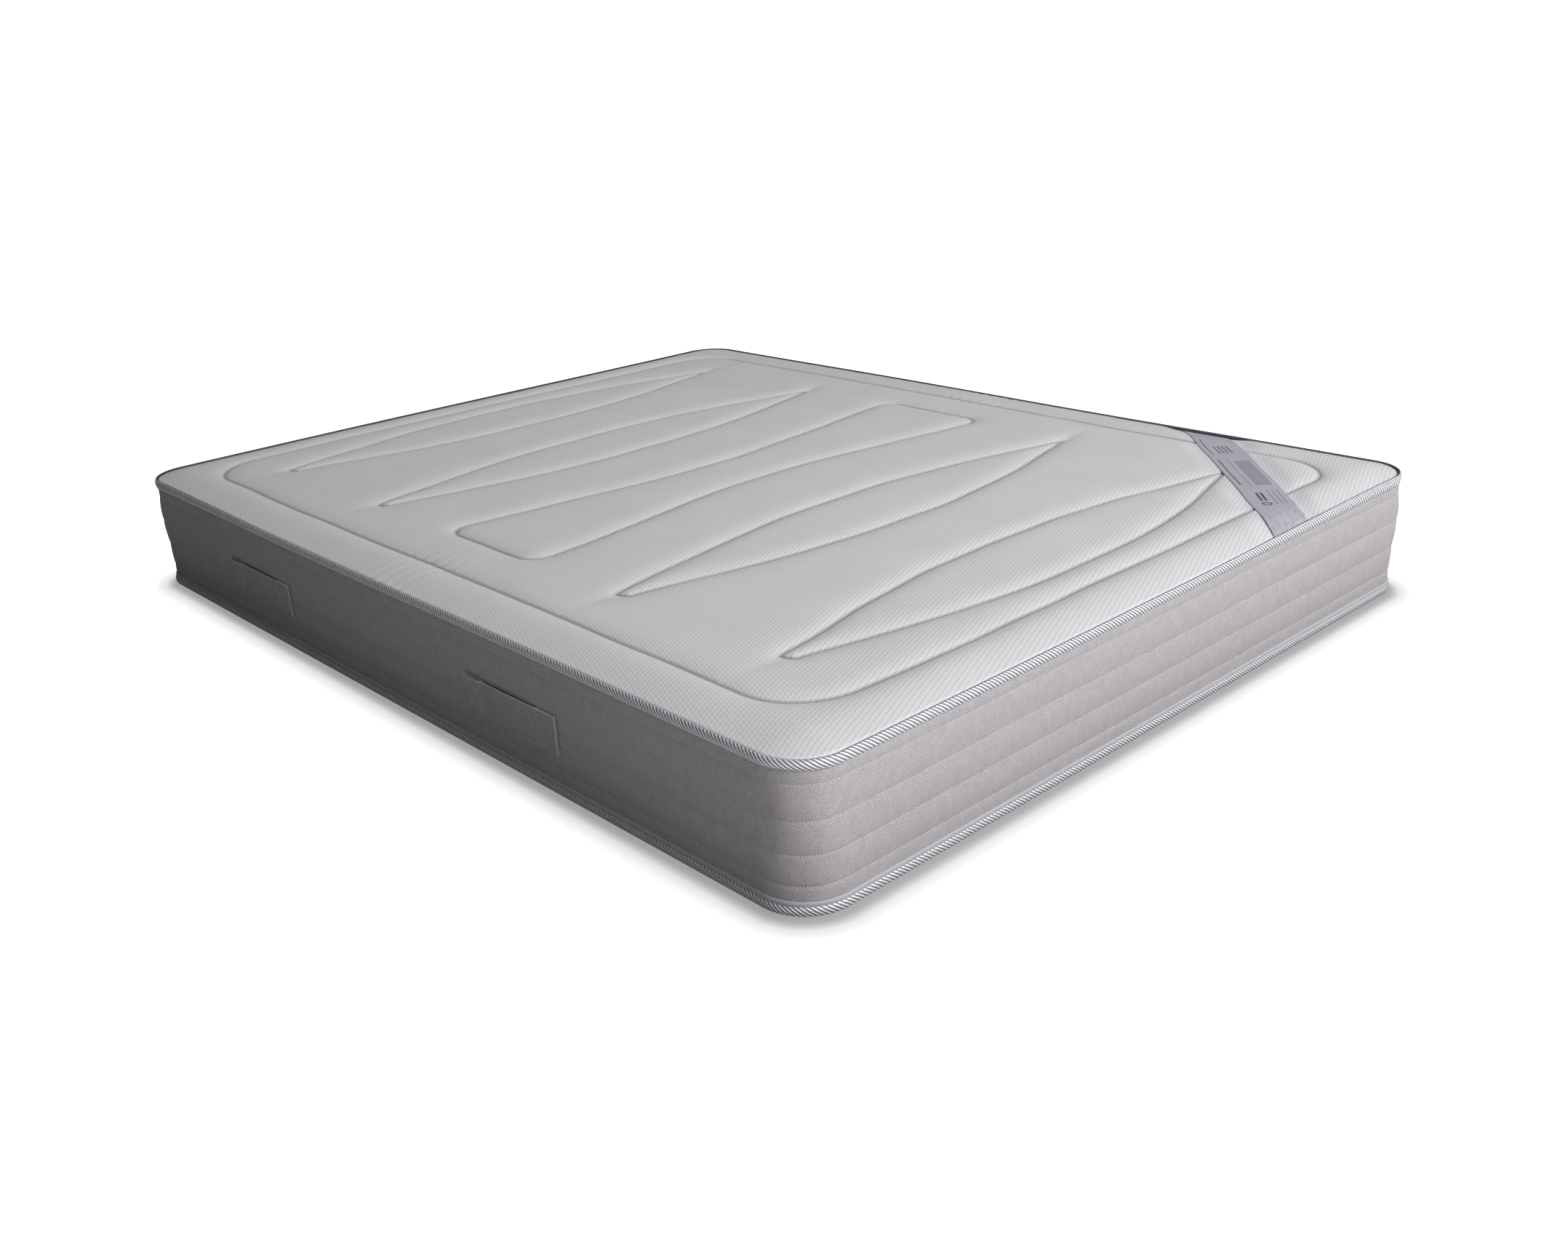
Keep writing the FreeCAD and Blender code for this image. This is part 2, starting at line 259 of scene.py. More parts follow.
def inflated(piece, hold, slack, pressure, frames, cap, spare):
    """Cloth simulation of a padded skin: pressure from inside, with hold at the seams.

    hold and slack are one weight per point: 1 is sewn down, and 1 is fully slack fabric.
    spare is the share of extra fabric where it is fully slack, and cap the farthest move."""
    start = points_of(piece)
    for name, weights in (("hold", hold), ("slack", slack)):
        group = piece.vertex_groups.new(name=name)
        for level in np.unique(np.round(weights, 2)):
            chosen = np.nonzero(np.round(weights, 2) == level)[0].tolist()
            group.add(chosen, float(level), "REPLACE")
    cloth = piece.modifiers.new("cloth", "CLOTH")
    s = cloth.settings
    s.quality = 5
    s.mass = 0.25
    s.tension_stiffness = s.compression_stiffness = 12
    s.shear_stiffness = 4
    s.bending_stiffness = 0.35
    s.air_damping = 4
    s.use_pressure = True
    s.uniform_pressure_force = pressure
    s.vertex_group_mass = "hold"
    s.pin_stiffness = 1.0
    s.vertex_group_shrink = "slack"
    s.shrink_min = 0.0
    s.shrink_max = -spare
    s.effector_weights.gravity = 0
    cloth.collision_settings.use_collision = False
    cloth.point_cache.frame_start = 1
    cloth.point_cache.frame_end = frames
    scene = bpy.context.scene
    for number in range(1, frames + 1):
        scene.frame_set(number)
    graph = bpy.context.evaluated_depsgraph_get()
    solved = piece.evaluated_get(graph).to_mesh()
    co = np.zeros(len(start) * 3, np.float32)
    solved.vertices.foreach_get("co", co)
    piece.evaluated_get(graph).to_mesh_clear()
    piece.modifiers.remove(cloth)
    piece.vertex_groups.clear()
    scene.frame_set(1)
    move = co.reshape(-1, 3) - start
    size = np.linalg.norm(move, axis=1, keepdims=True) + 1e-12
    set_points(piece, start + move / size * (cap * np.tanh(size / cap)))


def threads(name, centres, along, outward, length, radius):
    """Many small stitches, each a plump spindle lying along a seam."""
    along = along / np.linalg.norm(along, axis=1, keepdims=True)
    side = np.cross(along, outward)
    side /= np.linalg.norm(side, axis=1, keepdims=True)
    lift = np.cross(side, along)
    rings = [(-0.5, 0.0, -0.5), (-0.36, 0.8, -0.1), (0.0, 1.0, 0.35), (0.36, 0.8, -0.1), (0.5, 0.0, -0.5)]
    points = []
    for place, girth, rise in rings:
        middle = centres + along * (place * length) + lift * (rise * radius)
        if girth == 0:
            points.append(middle)
            continue
        for a in range(4):
            turn = a * math.pi / 2
            spoke = side * math.cos(turn) + lift * math.sin(turn)
            points.append(middle + spoke * (girth * radius))
    stacked = np.stack(points, axis=1)
    one = []
    for a in range(4):
        b = (a + 1) % 4
        one.append((0, 1 + b, 1 + a))
        one.append((1 + a, 1 + b, 5 + b, 5 + a))
        one.append((5 + a, 5 + b, 9 + b, 9 + a))
        one.append((9 + a, 9 + b, 13))
    per = stacked.shape[1]
    faces = [tuple(k * per + v for v in f) for k in range(len(centres)) for f in one]
    return mesh_piece(name, stacked.reshape(-1, 3), faces)


def sewing(name, node, finish, centres, along, outward, length, radius):
    """A piece of thread made of several runs of stitches."""
    places = settled(np.vstack(centres))
    piece = threads(name, places, np.vstack(along), np.vstack(outward), length, radius)
    finished(piece, finish, [node])


def sewn_rows(name, node, heights, inset_at, pitch, length, radius):
    """Rows of stitches right round the mattress; inset_at says how far in each one lies."""
    s = np.arange(0, RIM_LENGTH - pitch / 2, pitch)
    point, out = rim(s)
    centres = [raised(point - out * inset_at(s, out, z)[:, None], z) for z in heights]
    along = [raised(np.column_stack([-out[:, 1], out[:, 0]]), 0.0)] * len(heights)
    outward = [raised(out, 0.0)] * len(heights)
    sewing(name, node, THREAD, centres, along, outward, length, radius)


# Quilting seams, in plan

def rounded_polygon(corners, step):
    """Closed line through corners given as (x, y, radius), at even steps."""
    line = []
    count = len(corners)
    for k in range(count):
        x, y, radius = corners[k]
        here = np.array([x, y])
        before = np.array(corners[k - 1][:2]) - here
        after = np.array(corners[(k + 1) % count][:2]) - here
        before /= np.linalg.norm(before)
        after /= np.linalg.norm(after)
        if radius == 0:
            line.append(here)
            continue
        half = math.acos(np.clip(before @ after, -1, 1)) / 2
        reach = radius / math.tan(half)
        centre = here + (before + after) / np.linalg.norm(before + after) * radius / math.sin(half)
        first, last = here + before * reach - centre, here + after * reach - centre
        for t in np.linspace(0, 1, 24):
            spoke = first * (1 - t) + last * t
            line.append(centre + spoke / np.linalg.norm(spoke) * radius)
    line = np.array(line + [line[0]])
    length = np.concatenate([[0], np.cumsum(np.linalg.norm(np.diff(line, axis=0), axis=1))])
    at = np.linspace(0, length[-1], int(length[-1] / step) + 1)[:-1]
    return np.column_stack([np.interp(at, length, line[:, 0]), np.interp(at, length, line[:, 1])])


def lens(y):
    """Long lens with soft shoulders, pointed at +X and cut blunt at -X."""
    w, b = LENS_HALF_WIDTH, LENS_BLUNT
    tips = [(LENS_TIP_FAR, y, 0), (LENS_TIP_NEAR, y + b, 0), (LENS_TIP_NEAR + 0.006, y - b, 0)]
    rear = [(LENS_SHOULDER, y + w, 1.5), (-LENS_SHOULDER, y + w, 1.5)]
    front = [(-LENS_SHOULDER, y - w, 1.5), (LENS_SHOULDER, y - w, 1.5)]
    return [tips[0]] + rear + tips[1:] + front


def bone():
    """Waisted loop with broad ends."""
    e, w, k = BONE_HALF_LENGTH, BONE_END, BONE_WAIST
    rear = [(e, w, 0.04), (0.10, k, 0.9), (-0.10, k, 0.9), (-e, w, 0.04)]
    return rear + [(x, -y, r) for x, y, r in reversed(rear)]


def perimeter():
    """Rounded rectangle parallel to the edges."""
    x, y, r = HALF_X - PERIMETER_INSET, HALF_Y - PERIMETER_INSET, 0.112
    return [(x, y, r), (-x, y, r), (-x, -y, r), (x, -y, r)]


def wandered(line, seed):
    """A sewn line is never quite true: shift it a little, slowly along its length."""
    dx = flat_swell(line[:, 0], line[:, 1], 0.16, seed)
    dy = flat_swell(line[:, 0], line[:, 1], 0.13, seed + 1)
    return line + 0.0042 * np.column_stack([dx, dy])


def quilt_lines():
    """All closed seam lines, as (n, 2) arrays."""
    outlines = [perimeter(), bone()] + [lens(y) for y in LENS_LINES]
    return [wandered(rounded_polygon(c, SEAM_STEP), 3 + 2 * k) for k, c in enumerate(outlines)]


SEAMS = quilt_lines()


def directions(line):
    """Unit tangents of a closed line."""
    ahead = np.roll(line, -1, axis=0) - np.roll(line, 1, axis=0)
    return ahead / np.linalg.norm(ahead, axis=1, keepdims=True)


# Quilted panels

class Panel:
    """A quilted face of the mattress, laid out flat and folded over its rim.

    face is +1 for the top and -1 for the underside. level is the crown's height, roll the
    rim's radius, wall the depth of skin below the roll, depth how far the seams sink and soft
    how wide their valleys are. drop is how much lower the rim is than the crown, and bulge
    how far it swells past the CAD cover's edge."""

    def __init__(self, face, level, roll, wall, depth, soft, drop, bulge):
        self.face, self.level, self.roll, self.wall = face, level, roll, wall
        self.depth, self.soft, self.drop = depth, soft, drop
        self.fold = PANEL_INSET - bulge + roll
        self.reach = roll * math.pi / 2 + wall

    def surface(self, flat):
        """Fold flat points over the rim: the smooth surface and its normals."""
        inset, out = inset_of(flat[:, 0], flat[:, 1])
        past = np.clip(self.fold - inset, 0, None)
        angle = np.clip(past / self.roll, 0, math.pi / 2)
        below = np.clip(past - self.roll * math.pi / 2, 0, None)
        shift = self.roll * np.sin(angle) - past
        long_side = LONG_SIDE_SWELL * out[:, 0] ** 2 * np.exp(-np.clip(inset - self.fold, 0, 1) / 0.012)
        plan = flat + out * (shift + (long_side if self.face > 0 else 0.0))[:, None]
        slope = np.clip(1 - (inset - self.fold) / RIM_SLOPE, 0, 1) ** 1.55
        drop = self.roll * (1 - np.cos(angle)) + below + self.drop * slope
        points = np.column_stack([plan, self.level - self.face * drop])
        normals = np.column_stack([out * np.sin(angle)[:, None], self.face * np.cos(angle)])
        return points, normals

    def edge_distance(self, flat):
        """Distance along the skin from the rim's sewn edge."""
        inset, _ = inset_of(flat[:, 0], flat[:, 1])
        return np.clip(inset - self.fold + self.reach, 0, None)

    def layout(self, step):
        """Flat points: rows along every seam, and an even triangular lattice between."""
        rows = []
        for line in SEAMS:
            tangent = directions(line)
            side = np.column_stack([-tangent[:, 1], tangent[:, 0]])
            rows.append(line)
            for k, offset in enumerate(SEAM_ROWS):
                for sign in (1, -1):
                    middle = line + tangent * (SEAM_STEP / 2 if k % 2 == 0 else 0)
                    rows.append(middle + side * sign * offset)
        rows = np.vstack(rows)
        reach_x = HALF_X - self.fold + self.reach
        reach_y = HALF_Y - self.fold + self.reach
        rise = step * math.sqrt(3) / 2
        lattice = []
        for k, y in enumerate(np.arange(-reach_y, reach_y, rise)):
            x = np.arange(-reach_x, reach_x, step) + (step / 2 if k % 2 else 0)
            lattice.append(np.column_stack([x, np.full(len(x), y)]))
        lattice = np.vstack(lattice)
        lattice = lattice[self.edge_distance(lattice) > self.reach + RIM_ROW + step * 0.5]
        clear = plan_distance(lattice, rows) > step * 0.62
        # Points that crowd each other, as where two seams meet at a tip, are thinned out
        _, first = np.unique(np.round(rows / 0.0016).astype(int), axis=0, return_index=True)
        return np.vstack([rows[np.sort(first)], lattice[clear]] + self.rim_rows(min(step, 0.006)))

    def rim_rows(self, step):
        """Rows of points round the rim, close together where the skin turns; the last is the hem."""
        turned = self.roll * math.pi / 2
        levels = [self.reach + RIM_ROW, self.reach, self.wall + turned * 0.67, self.wall + turned * 0.33,
                  self.wall, self.wall * 0.5, 0.0]
        s = np.linspace(0, RIM_LENGTH, int(RIM_LENGTH / step), endpoint=False)
        point, out = rim(s)
        shifts = [self.fold - self.reach + level for level in levels]
        return [point - out * shift for shift in shifts]

    def sink(self, flat, distance):
        """Depth of the skin under the smooth surface: nothing on a puff, deep at a seam."""
        rise = 1 - np.exp(-distance / self.soft)
        depth = self.depth * (1 - rise) + self.depth * SLOT * np.exp(-distance / SLOT_WIDTH)
        for share, size, seed in ((0.10, 0.22, 21), (0.05, 0.07, 22)):
            depth += self.depth * share * flat_swell(flat[:, 0], flat[:, 1], size, seed) * rise
        for x, way in ((LENS_TIP_FAR, 1), (LENS_TIP_NEAR, -1)):
            along = (flat[:, 0] - x) * way
            pull = smooth(-0.01, 0.02, along) * np.exp(-np.clip(along, 0, 1) / 0.045)
            for y in LENS_LINES:
                depth += 0.5 * self.depth * pull * np.exp(-((flat[:, 1] - y) / 0.013) ** 2)
        edge = self.edge_distance(flat)
        tuck = RIM_TUCK * np.exp(-edge / 0.0018)
        return depth * smooth(0.0, 0.012, edge) + tuck + self.gathers(flat)

    def gathers(self, flat):
        """Fine cross puckers in the middle of both long edges."""
        x, y = np.abs(flat[:, 0]), flat[:, 1]
        where = smooth(0.56, 0.64, x) * np.exp(-(y / 0.10) ** 2)
        wave = np.sin(y * 2 * math.pi / 0.030 + 1.7 * flat_swell(flat[:, 0], y, 0.06, 31))
        return self.depth * 0.055 * where * wave

    def build(self, name, step):
        """The skin as a mesh, with its flat layout as uv."""
        flat = self.layout(step)
        made = delaunay_2d_cdt([Vector(p) for p in flat], [], [], 0, 1e-7)
        flat = np.array([tuple(v) for v in made[0]])
        faces = [tuple(f) if self.face > 0 else tuple(reversed(f)) for f in made[2]]
        self.distance = plan_distance(flat, np.vstack(SEAMS))
        points, normals = self.surface(flat)
        points -= normals * self.sink(flat, self.distance)[:, None]
        self.flat = flat
        return mesh_piece(name, points, faces, flat)

    def dip(self, flat):
        """How far the ribbon's line sinks where it crosses a seam's valley."""
        s = (flat - RIBBON_MIDDLE) @ DIAGONAL
        line = np.linspace(-0.36, 0.36, 145)
        crossed = plan_distance(RIBBON_MIDDLE + line[:, None] * DIAGONAL, np.vstack(SEAMS))
        valley = np.exp(-(crossed / 0.035) ** 2)
        return 0.0024 * np.interp(s, line, valley)

    def press_ribbon(self, piece):
        """Hold the puffs down under the ribbon, whatever they did before."""
        points = points_of(piece)
        smooth_points, normals = self.surface(self.flat)
        above = ((points - smooth_points) * normals).sum(1)
        across = np.abs((self.flat - RIBBON_MIDDLE) @ ACROSS)
        near = 1 - smooth(RIBBON_HALF_WIDTH + 0.002, RIBBON_HALF_WIDTH + 0.040, across)
        limit = -RIBBON_SINK - 0.0007 - self.dip(self.flat)
        excess = np.clip(above - limit, 0, None) * near
        points -= normals * excess[:, None]
        set_points(piece, points)

    def close_back(self, piece, level):
        """Shut the panel behind with a flat face, so that it is a closed pad."""
        index = np.nonzero(self.edge_distance(self.flat) < 1e-6)[0]
        order = index[np.argsort(np.arctan2(self.flat[index, 1], self.flat[index, 0]))]
        points, faces = points_of(piece), [tuple(p.vertices) for p in piece.data.polygons]
        back = len(points) + np.arange(len(order))
        below = points[order].copy()
        below[:, 2] = level
        for k in range(len(order)):
            a, b = order[k], order[(k + 1) % len(order)]
            c, d = back[(k + 1) % len(order)], back[k]
            faces.append((a, d, c, b) if self.face > 0 else (a, b, c, d))
        faces.append(tuple(back[::-1] if self.face > 0 else back))
        uv = np.vstack([self.flat, self.flat[order]])
        name = piece.name
        bpy.data.objects.remove(piece)
        return mesh_piece(name, np.vstack([points, below]), faces, uv)


def quilt_stitches(name, node, panel, pitch, length, radius):
    """Thread lying in every seam of a panel."""
    centres, along, outward = [], [], []
    for line in SEAMS:
        closed = np.vstack([line, line[:1]])
        reach = np.concatenate([[0], np.cumsum(np.linalg.norm(np.diff(closed, axis=0), axis=1))])
        at = np.linspace(0, reach[-1], int(reach[-1] / pitch), endpoint=False)
        flat = np.column_stack([np.interp(at, reach, closed[:, 0]), np.interp(at, reach, closed[:, 1])])
        points, normals = panel.surface(flat)
        sunk = panel.sink(flat, np.zeros(len(flat)))
        centres.append(points - normals * (sunk - radius * 0.6)[:, None])
        along.append(raised(directions(flat), 0.0))
        outward.append(normals)
    sewing(name, node, SHADED_QUILT_THREAD, centres, along, outward, length, radius)


# Materials

def srgb(r, g, b):
    """Linear colour from screen values of 0 to 255."""
    def one(v):
        v /= 255
        return v / 12.92 if v <= 0.04045 else ((v + 0.055) / 1.055) ** 2.4
    return (one(r), one(g), one(b), 1.0)


def shaded(colour, share):
    """The same colour, darker or lighter."""
    return tuple(min(1.0, share * c) for c in colour[:3]) + (1.0,)


class Finish:
    """Builds one material; every method adds a node and returns its output socket."""

    def __init__(self, name, roughness=0.9, sheen=0.0, specular=0.3):
        self.material = bpy.data.materials.new(name)
        self.material.use_nodes = True
        self.tree = self.material.node_tree
        self.shader = self.tree.nodes["Principled BSDF"]
        for name, value in (("Roughness", roughness), ("Specular IOR Level", specular),
                            ("Sheen Weight", sheen), ("Sheen Roughness", 0.5)):
            self.shader.inputs[name].default_value = value

    def put(self, socket, value):
        if isinstance(value, bpy.types.NodeSocket):
            self.tree.links.new(value, socket)
        elif value is not None:
            socket.default_value = value

    def node(self, kind, inputs, output=0, **settings):
        """Add a node, fill its inputs, given by name or number, and return one output."""
        made = self.tree.nodes.new("ShaderNode" + kind)
        for name, value in settings.items():
            setattr(made, name, value)
        for key, value in inputs.items():
            self.put(made.inputs[key], value)
        return made.outputs[output]

    def where(self, kind="UV"):
        return self.node("TexCoord", {}, kind)

    def scaled(self, vector, scale, turn=0.0):
        return self.node("Mapping", {"Vector": vector, "Scale": scale, "Rotation": (0, 0, turn)})

    def vector(self, operation, a, b=None, output="Vector"):
        return self.node("VectorMath", {0: a, 1: b}, output, operation=operation)

    def dot(self, vector, direction):
        return self.vector("DOT_PRODUCT", vector, direction, "Value")

    def math(self, operation, a, b=0.0, c=0.0):
        return self.node("Math", {0: a, 1: b, 2: c}, operation=operation)

    def ramp(self, value, low, high, to_low=0.0, to_high=1.0):
        """A soft step from to_low to to_high as value goes from low to high."""
        inputs = {"Value": value, "From Min": low, "From Max": high, "To Min": to_low, "To Max": to_high}
        return self.node("MapRange", inputs, "Result", interpolation_type="SMOOTHSTEP")

    def noise(self, vector, scale, detail=2.0, roughness=0.5):
        inputs = {"Vector": vector, "Scale": scale, "Detail": detail, "Roughness": roughness}
        return self.node("TexNoise", inputs, "Fac")

    def grain(self, vector, scale, detail, roughness=0.5, turn=0.0):
        """Noise drawn out along one axis of the cloth."""
        return self.noise(self.scaled(vector, (*scale, 1), turn), 1.0, detail, roughness)

    def wave(self, vector, pitch, angle):
        """Sine stripes of a pitch in metres, their normal turned by angle degrees from u."""
        a, k = math.radians(angle), 2 * math.pi / pitch
        return self.math("SINE", self.dot(vector, (math.cos(a) * k, math.sin(a) * k, 0)))

    def mix(self, factor, first, second):
        return self.node("Mix", {0: factor, 6: first, 7: second}, 2, data_type="RGBA")

    def bump(self, height, distance, strength=1.0):
        inputs = {"Distance": distance, "Strength": strength, "Height": height}
        self.put(self.shader.inputs["Normal"], self.node("Bump", inputs, "Normal"))

    def colour(self, value):
        self.put(self.shader.inputs["Base Color"], value)
        return self.material


def knit_finish(name, light, shade, relief):
    """Stretch knit: slanting ridges, broken into short loops by a weaker cross wave; painted shade in the
    pits, painted highlight on the loop crests and painted shade along the seams.
    """
    f = Finish(name, roughness=0.95, sheen=0.1, specular=0.2)
    uv = f.where()
    ridge = f.wave(uv, 0.0071, 111)
    cross = f.wave(uv, 0.0061, 161)
    weave = f.math("MULTIPLY_ADD", cross, 0.55, ridge)
    weave = f.math("MULTIPLY_ADD", f.math("MULTIPLY", ridge, cross), 0.45, weave)
    pit = f.ramp(weave, -1.20, 1.80)
    loops = f.grain(uv, (820, 300), 1.0, turn=math.radians(47))
    fibre = f.noise(uv, 2600, 2.0)
    tone = f.noise(uv, 7, 3.0)
    crest_highlight = f.ramp(weave, -0.55, -1.35)
    height = f.math("MULTIPLY_ADD", pit, -1.0, f.math("MULTIPLY", loops, 0.30))
    f.bump(f.math("MULTIPLY_ADD", fibre, 0.10, height), relief, 0.40)
    body = f.mix(f.ramp(tone, 0.3, 0.7), light, shaded(light, 0.96))
    # painted shade: the knit darkens to grey along each seam's groove, where shade falls
    seam_shade = f.node("Attribute", {}, "Fac", attribute_name="seam")
    # painted shade in the pits and painted highlight on the loop crests
    cloth = f.mix(f.math("MULTIPLY", pit, 0.36), body, shade)
    cloth = f.mix(f.math("MULTIPLY", crest_highlight, 0.40), cloth, srgb(246, 246, 248))
    return f.colour(f.mix(f.math("MULTIPLY", seam_shade, 0.85), cloth, srgb(102, 101, 105)))


def melange_finish(name, dark, light, edge=None):
    """Brushed weave: salt-and-pepper yarn, a faint twill and soft blotches.

    A strap's edges are painted paler from edge outward, a painted highlight where they catch the light."""
    f = Finish(name, roughness=1.0, sheen=0.15, specular=0.15)
    uv = f.where()
    speck = f.grain(uv, (840, 700), 2.0, 0.85)
    yarn = f.grain(uv, (300, 1400), 1.5)
    blotch = f.grain(uv, (70, 50), 4.0, 0.7)
    twill = f.wave(uv, 0.0016, 62)
    for part, share in ((yarn, 0.40), (blotch, 0.16), (twill, 0.035)):
        speck = f.math("MULTIPLY_ADD", part, share, speck)
    f.bump(speck, 0.0005, 0.6)
    cloth = f.mix(f.ramp(speck, 0.44, 1.10), dark, light)
    if edge:
        # painted highlight: the strap's edges are lightened where they catch the light
        edge_highlight = f.ramp(f.math("ABSOLUTE", f.dot(uv, (0, 1, 0))), edge - 0.0016, edge - 0.0004)
        cloth = f.mix(f.math("MULTIPLY", edge_highlight, 0.90), cloth, shaded(light, 1.40))
    return f.colour(cloth)


def tape_finish(name, bright, dull, slant, lip, crown):
    """Ribbed binding: bright slanting cords on a blue-grey ground, a plain lip and a turned edge painted
    dark as the shade in the crease where it turns in.
    """
    f = Finish(name, roughness=0.36, sheen=0.05, specular=0.9)
    f.shader.inputs["Metallic"].default_value = 0.15
    uv = f.where()
    up = f.dot(uv, (0, 1, 0))
    cords = f.wave(uv, TAPE_PITCH * math.cos(math.radians(slant)), slant)
    fibre = f.grain(uv, (1500, 400), 1.0, turn=math.radians(-slant))
    ribbed = f.ramp(up, lip, lip + 0.0006)
    shade = f.math("MULTIPLY", f.math("MULTIPLY", f.ramp(cords, -0.30, 0.35), ribbed), 0.88)
    shade = f.math("MULTIPLY_ADD", fibre, 0.16, shade)
    line = f.ramp(f.math("ABSOLUTE", f.math("SUBTRACT", up, lip * 0.62)), 0.0008, 0.0002)
    line = f.math("MULTIPLY_ADD", line, -0.18, 0.34)
    plain = f.math("MULTIPLY", f.math("SUBTRACT", 1.0, ribbed), line)
    f.bump(fibre, 0.0003, 0.5)
    f.put(f.shader.inputs["Roughness"], f.ramp(shade, 0.1, 0.9, 0.70, 0.27))
    face = f.mix(f.math("ADD", shade, plain), dull, bright)
    # painted shade: past crown the tape is dark grey, the shadow in the crease where the tape turns in under
    # the panel's rim
    turned = f.ramp(up, crown, crown + 0.0010)
    return f.colour(f.mix(turned, face, srgb(58, 62, 70)))


def thread_finish(name, colour):
    """Twisted sewing thread."""
    f = Finish(name, roughness=0.6, sheen=0.1)
    twist = f.noise(f.where("Object"), 3200, 1.0)
    f.bump(twist, 0.0002, 0.6)
    return f.colour(f.mix(twist, shaded(colour, 0.8), colour))


def foam_finish(name, colour, cell):
    """Open-celled foam, for the hidden layers."""
    f = Finish(name, roughness=1.0)
    place = f.where("Object")
    f.bump(f.node("TexVoronoi", {"Vector": place, "Scale": 1 / cell}, "Distance"), cell * 0.5, 0.6)
    tone = f.noise(place, 6, 3.0)
    return f.colour(f.mix(f.ramp(tone, 0.3, 0.7), shaded(colour, 0.93), colour))


def cloth_finish(name, colour, pitch):
    """Plain non-woven or woven backing cloth."""
    f = Finish(name, roughness=0.95)
    p = f.where("Object")
    weave = f.math("MULTIPLY", f.wave(p, pitch, 0), f.wave(p, pitch, 90))
    speck = f.noise(p, 900, 2.0)
    f.bump(f.math("ADD", weave, speck), 0.0002, 0.5)
    return f.colour(f.mix(speck, shaded(colour, 0.86), colour))


def most(f, parts):
    """The largest of several values at each point."""
    total = parts[0]
    for part in parts[1:]:
        total = f.math("MAXIMUM", total, part)
    return total


def bars(f, u, v, first, last, thick, middles):
    """Plain bars across v = each middle, from u = first to last."""
    soft = 0.0002
    long_way = f.math("MULTIPLY", f.ramp(u, first - soft, first + soft), f.ramp(u, last + soft, last - soft))
    found = []
    for middle in middles:
        off = f.math("ABSOLUTE", f.math("SUBTRACT", v, middle))
        found.append(f.math("MULTIPLY", long_way, f.ramp(off, thick / 2 + soft, thick / 2 - soft)))
    return most(f, found)


def satin_finish(name):
    """Satin ribbon with fine weft, two edge lines and plain printed bars and a ring, no lettering."""
    f = Finish(name, roughness=0.34, sheen=0.25, specular=0.55)
    f.shader.inputs["Anisotropic"].default_value = 0.4
    uv = f.where()
    from_end = f.math("ADD", f.dot(uv, (1, 0, 0)), RIBBON_LENGTH / 2)
    v = f.dot(uv, (0, 1, 0))
    ink = [bars(f, from_end, v, 0.150, 0.192, 0.0048, (-0.0130, -0.0050))]
    rules = [bars(f, from_end, v, -1, 1, 0.0007, (-0.0345, 0.0345)),
             bars(f, from_end, v, 0.2150, 0.2158, 0.07, [0.0]),
             bars(f, from_end, v, 0.4280, 0.4288, 0.07, [0.0])]
    words = [bars(f, from_end, v, 0.130, 0.205, 0.0016, (0.0090, 0.0180, 0.0265)),
             bars(f, from_end, v, 0.235, 0.395, 0.0022, np.arange(0.0015, 0.0270, 0.0050).tolist()),
             bars(f, from_end, v, 0.240, 0.410, 0.0034, [-0.0270]),
             bars(f, from_end, v, 0.445, 0.560, 0.0030, [-0.0270]),
             bars(f, from_end, v, 0.450, 0.510, 0.0036, (-0.012, -0.004, 0.004, 0.012))]
    heading = bars(f, from_end, v, 0.228, 0.415, 0.0026, [-0.0105])
    radius = f.vector("LENGTH", f.vector("SUBTRACT", uv, RING_CENTRE), output="Value")
    ring = f.ramp(f.math("ABSOLUTE", f.math("SUBTRACT", radius, 0.0075)), 0.0024, 0.0018)
    broken = f.ramp(f.grain(uv, (420, 700), 1.0), 0.33, 0.42)
    print_grey = f.math("MULTIPLY", f.math("MULTIPLY", most(f, words), broken), 0.92)
    grey = f.math("MAXIMUM", print_grey, f.math("MULTIPLY", most(f, rules), 0.22))
    shown = f.mix(f.noise(uv, 9, 2.0), srgb(180, 180, 194), srgb(198, 198, 210))
    for share, colour in ((f.math("MULTIPLY", heading, 0.6), srgb(150, 132, 134)), (grey, srgb(70, 70, 84)),
                          (f.math("MULTIPLY", most(f, ink + [ring]), 0.9), srgb(42, 42, 52))):
        shown = f.mix(share, shown, colour)
    weft = f.math("MULTIPLY_ADD", f.grain(uv, (2600, 300), 1.0), 0.6, f.wave(uv, 0.0009, 0))
    f.bump(weft, 0.00006, 0.5)
    return f.colour(shown)


RING_CENTRE = (0.132 - RIBBON_LENGTH / 2, -0.009, 0.0)     # the printed ring, on the ribbon's layout
TAPE_PITCH = 0.0073
TAPE_SLANT = 52.0
TOP_LIP, BOTTOM_LIP = 0.0026, 0.0068

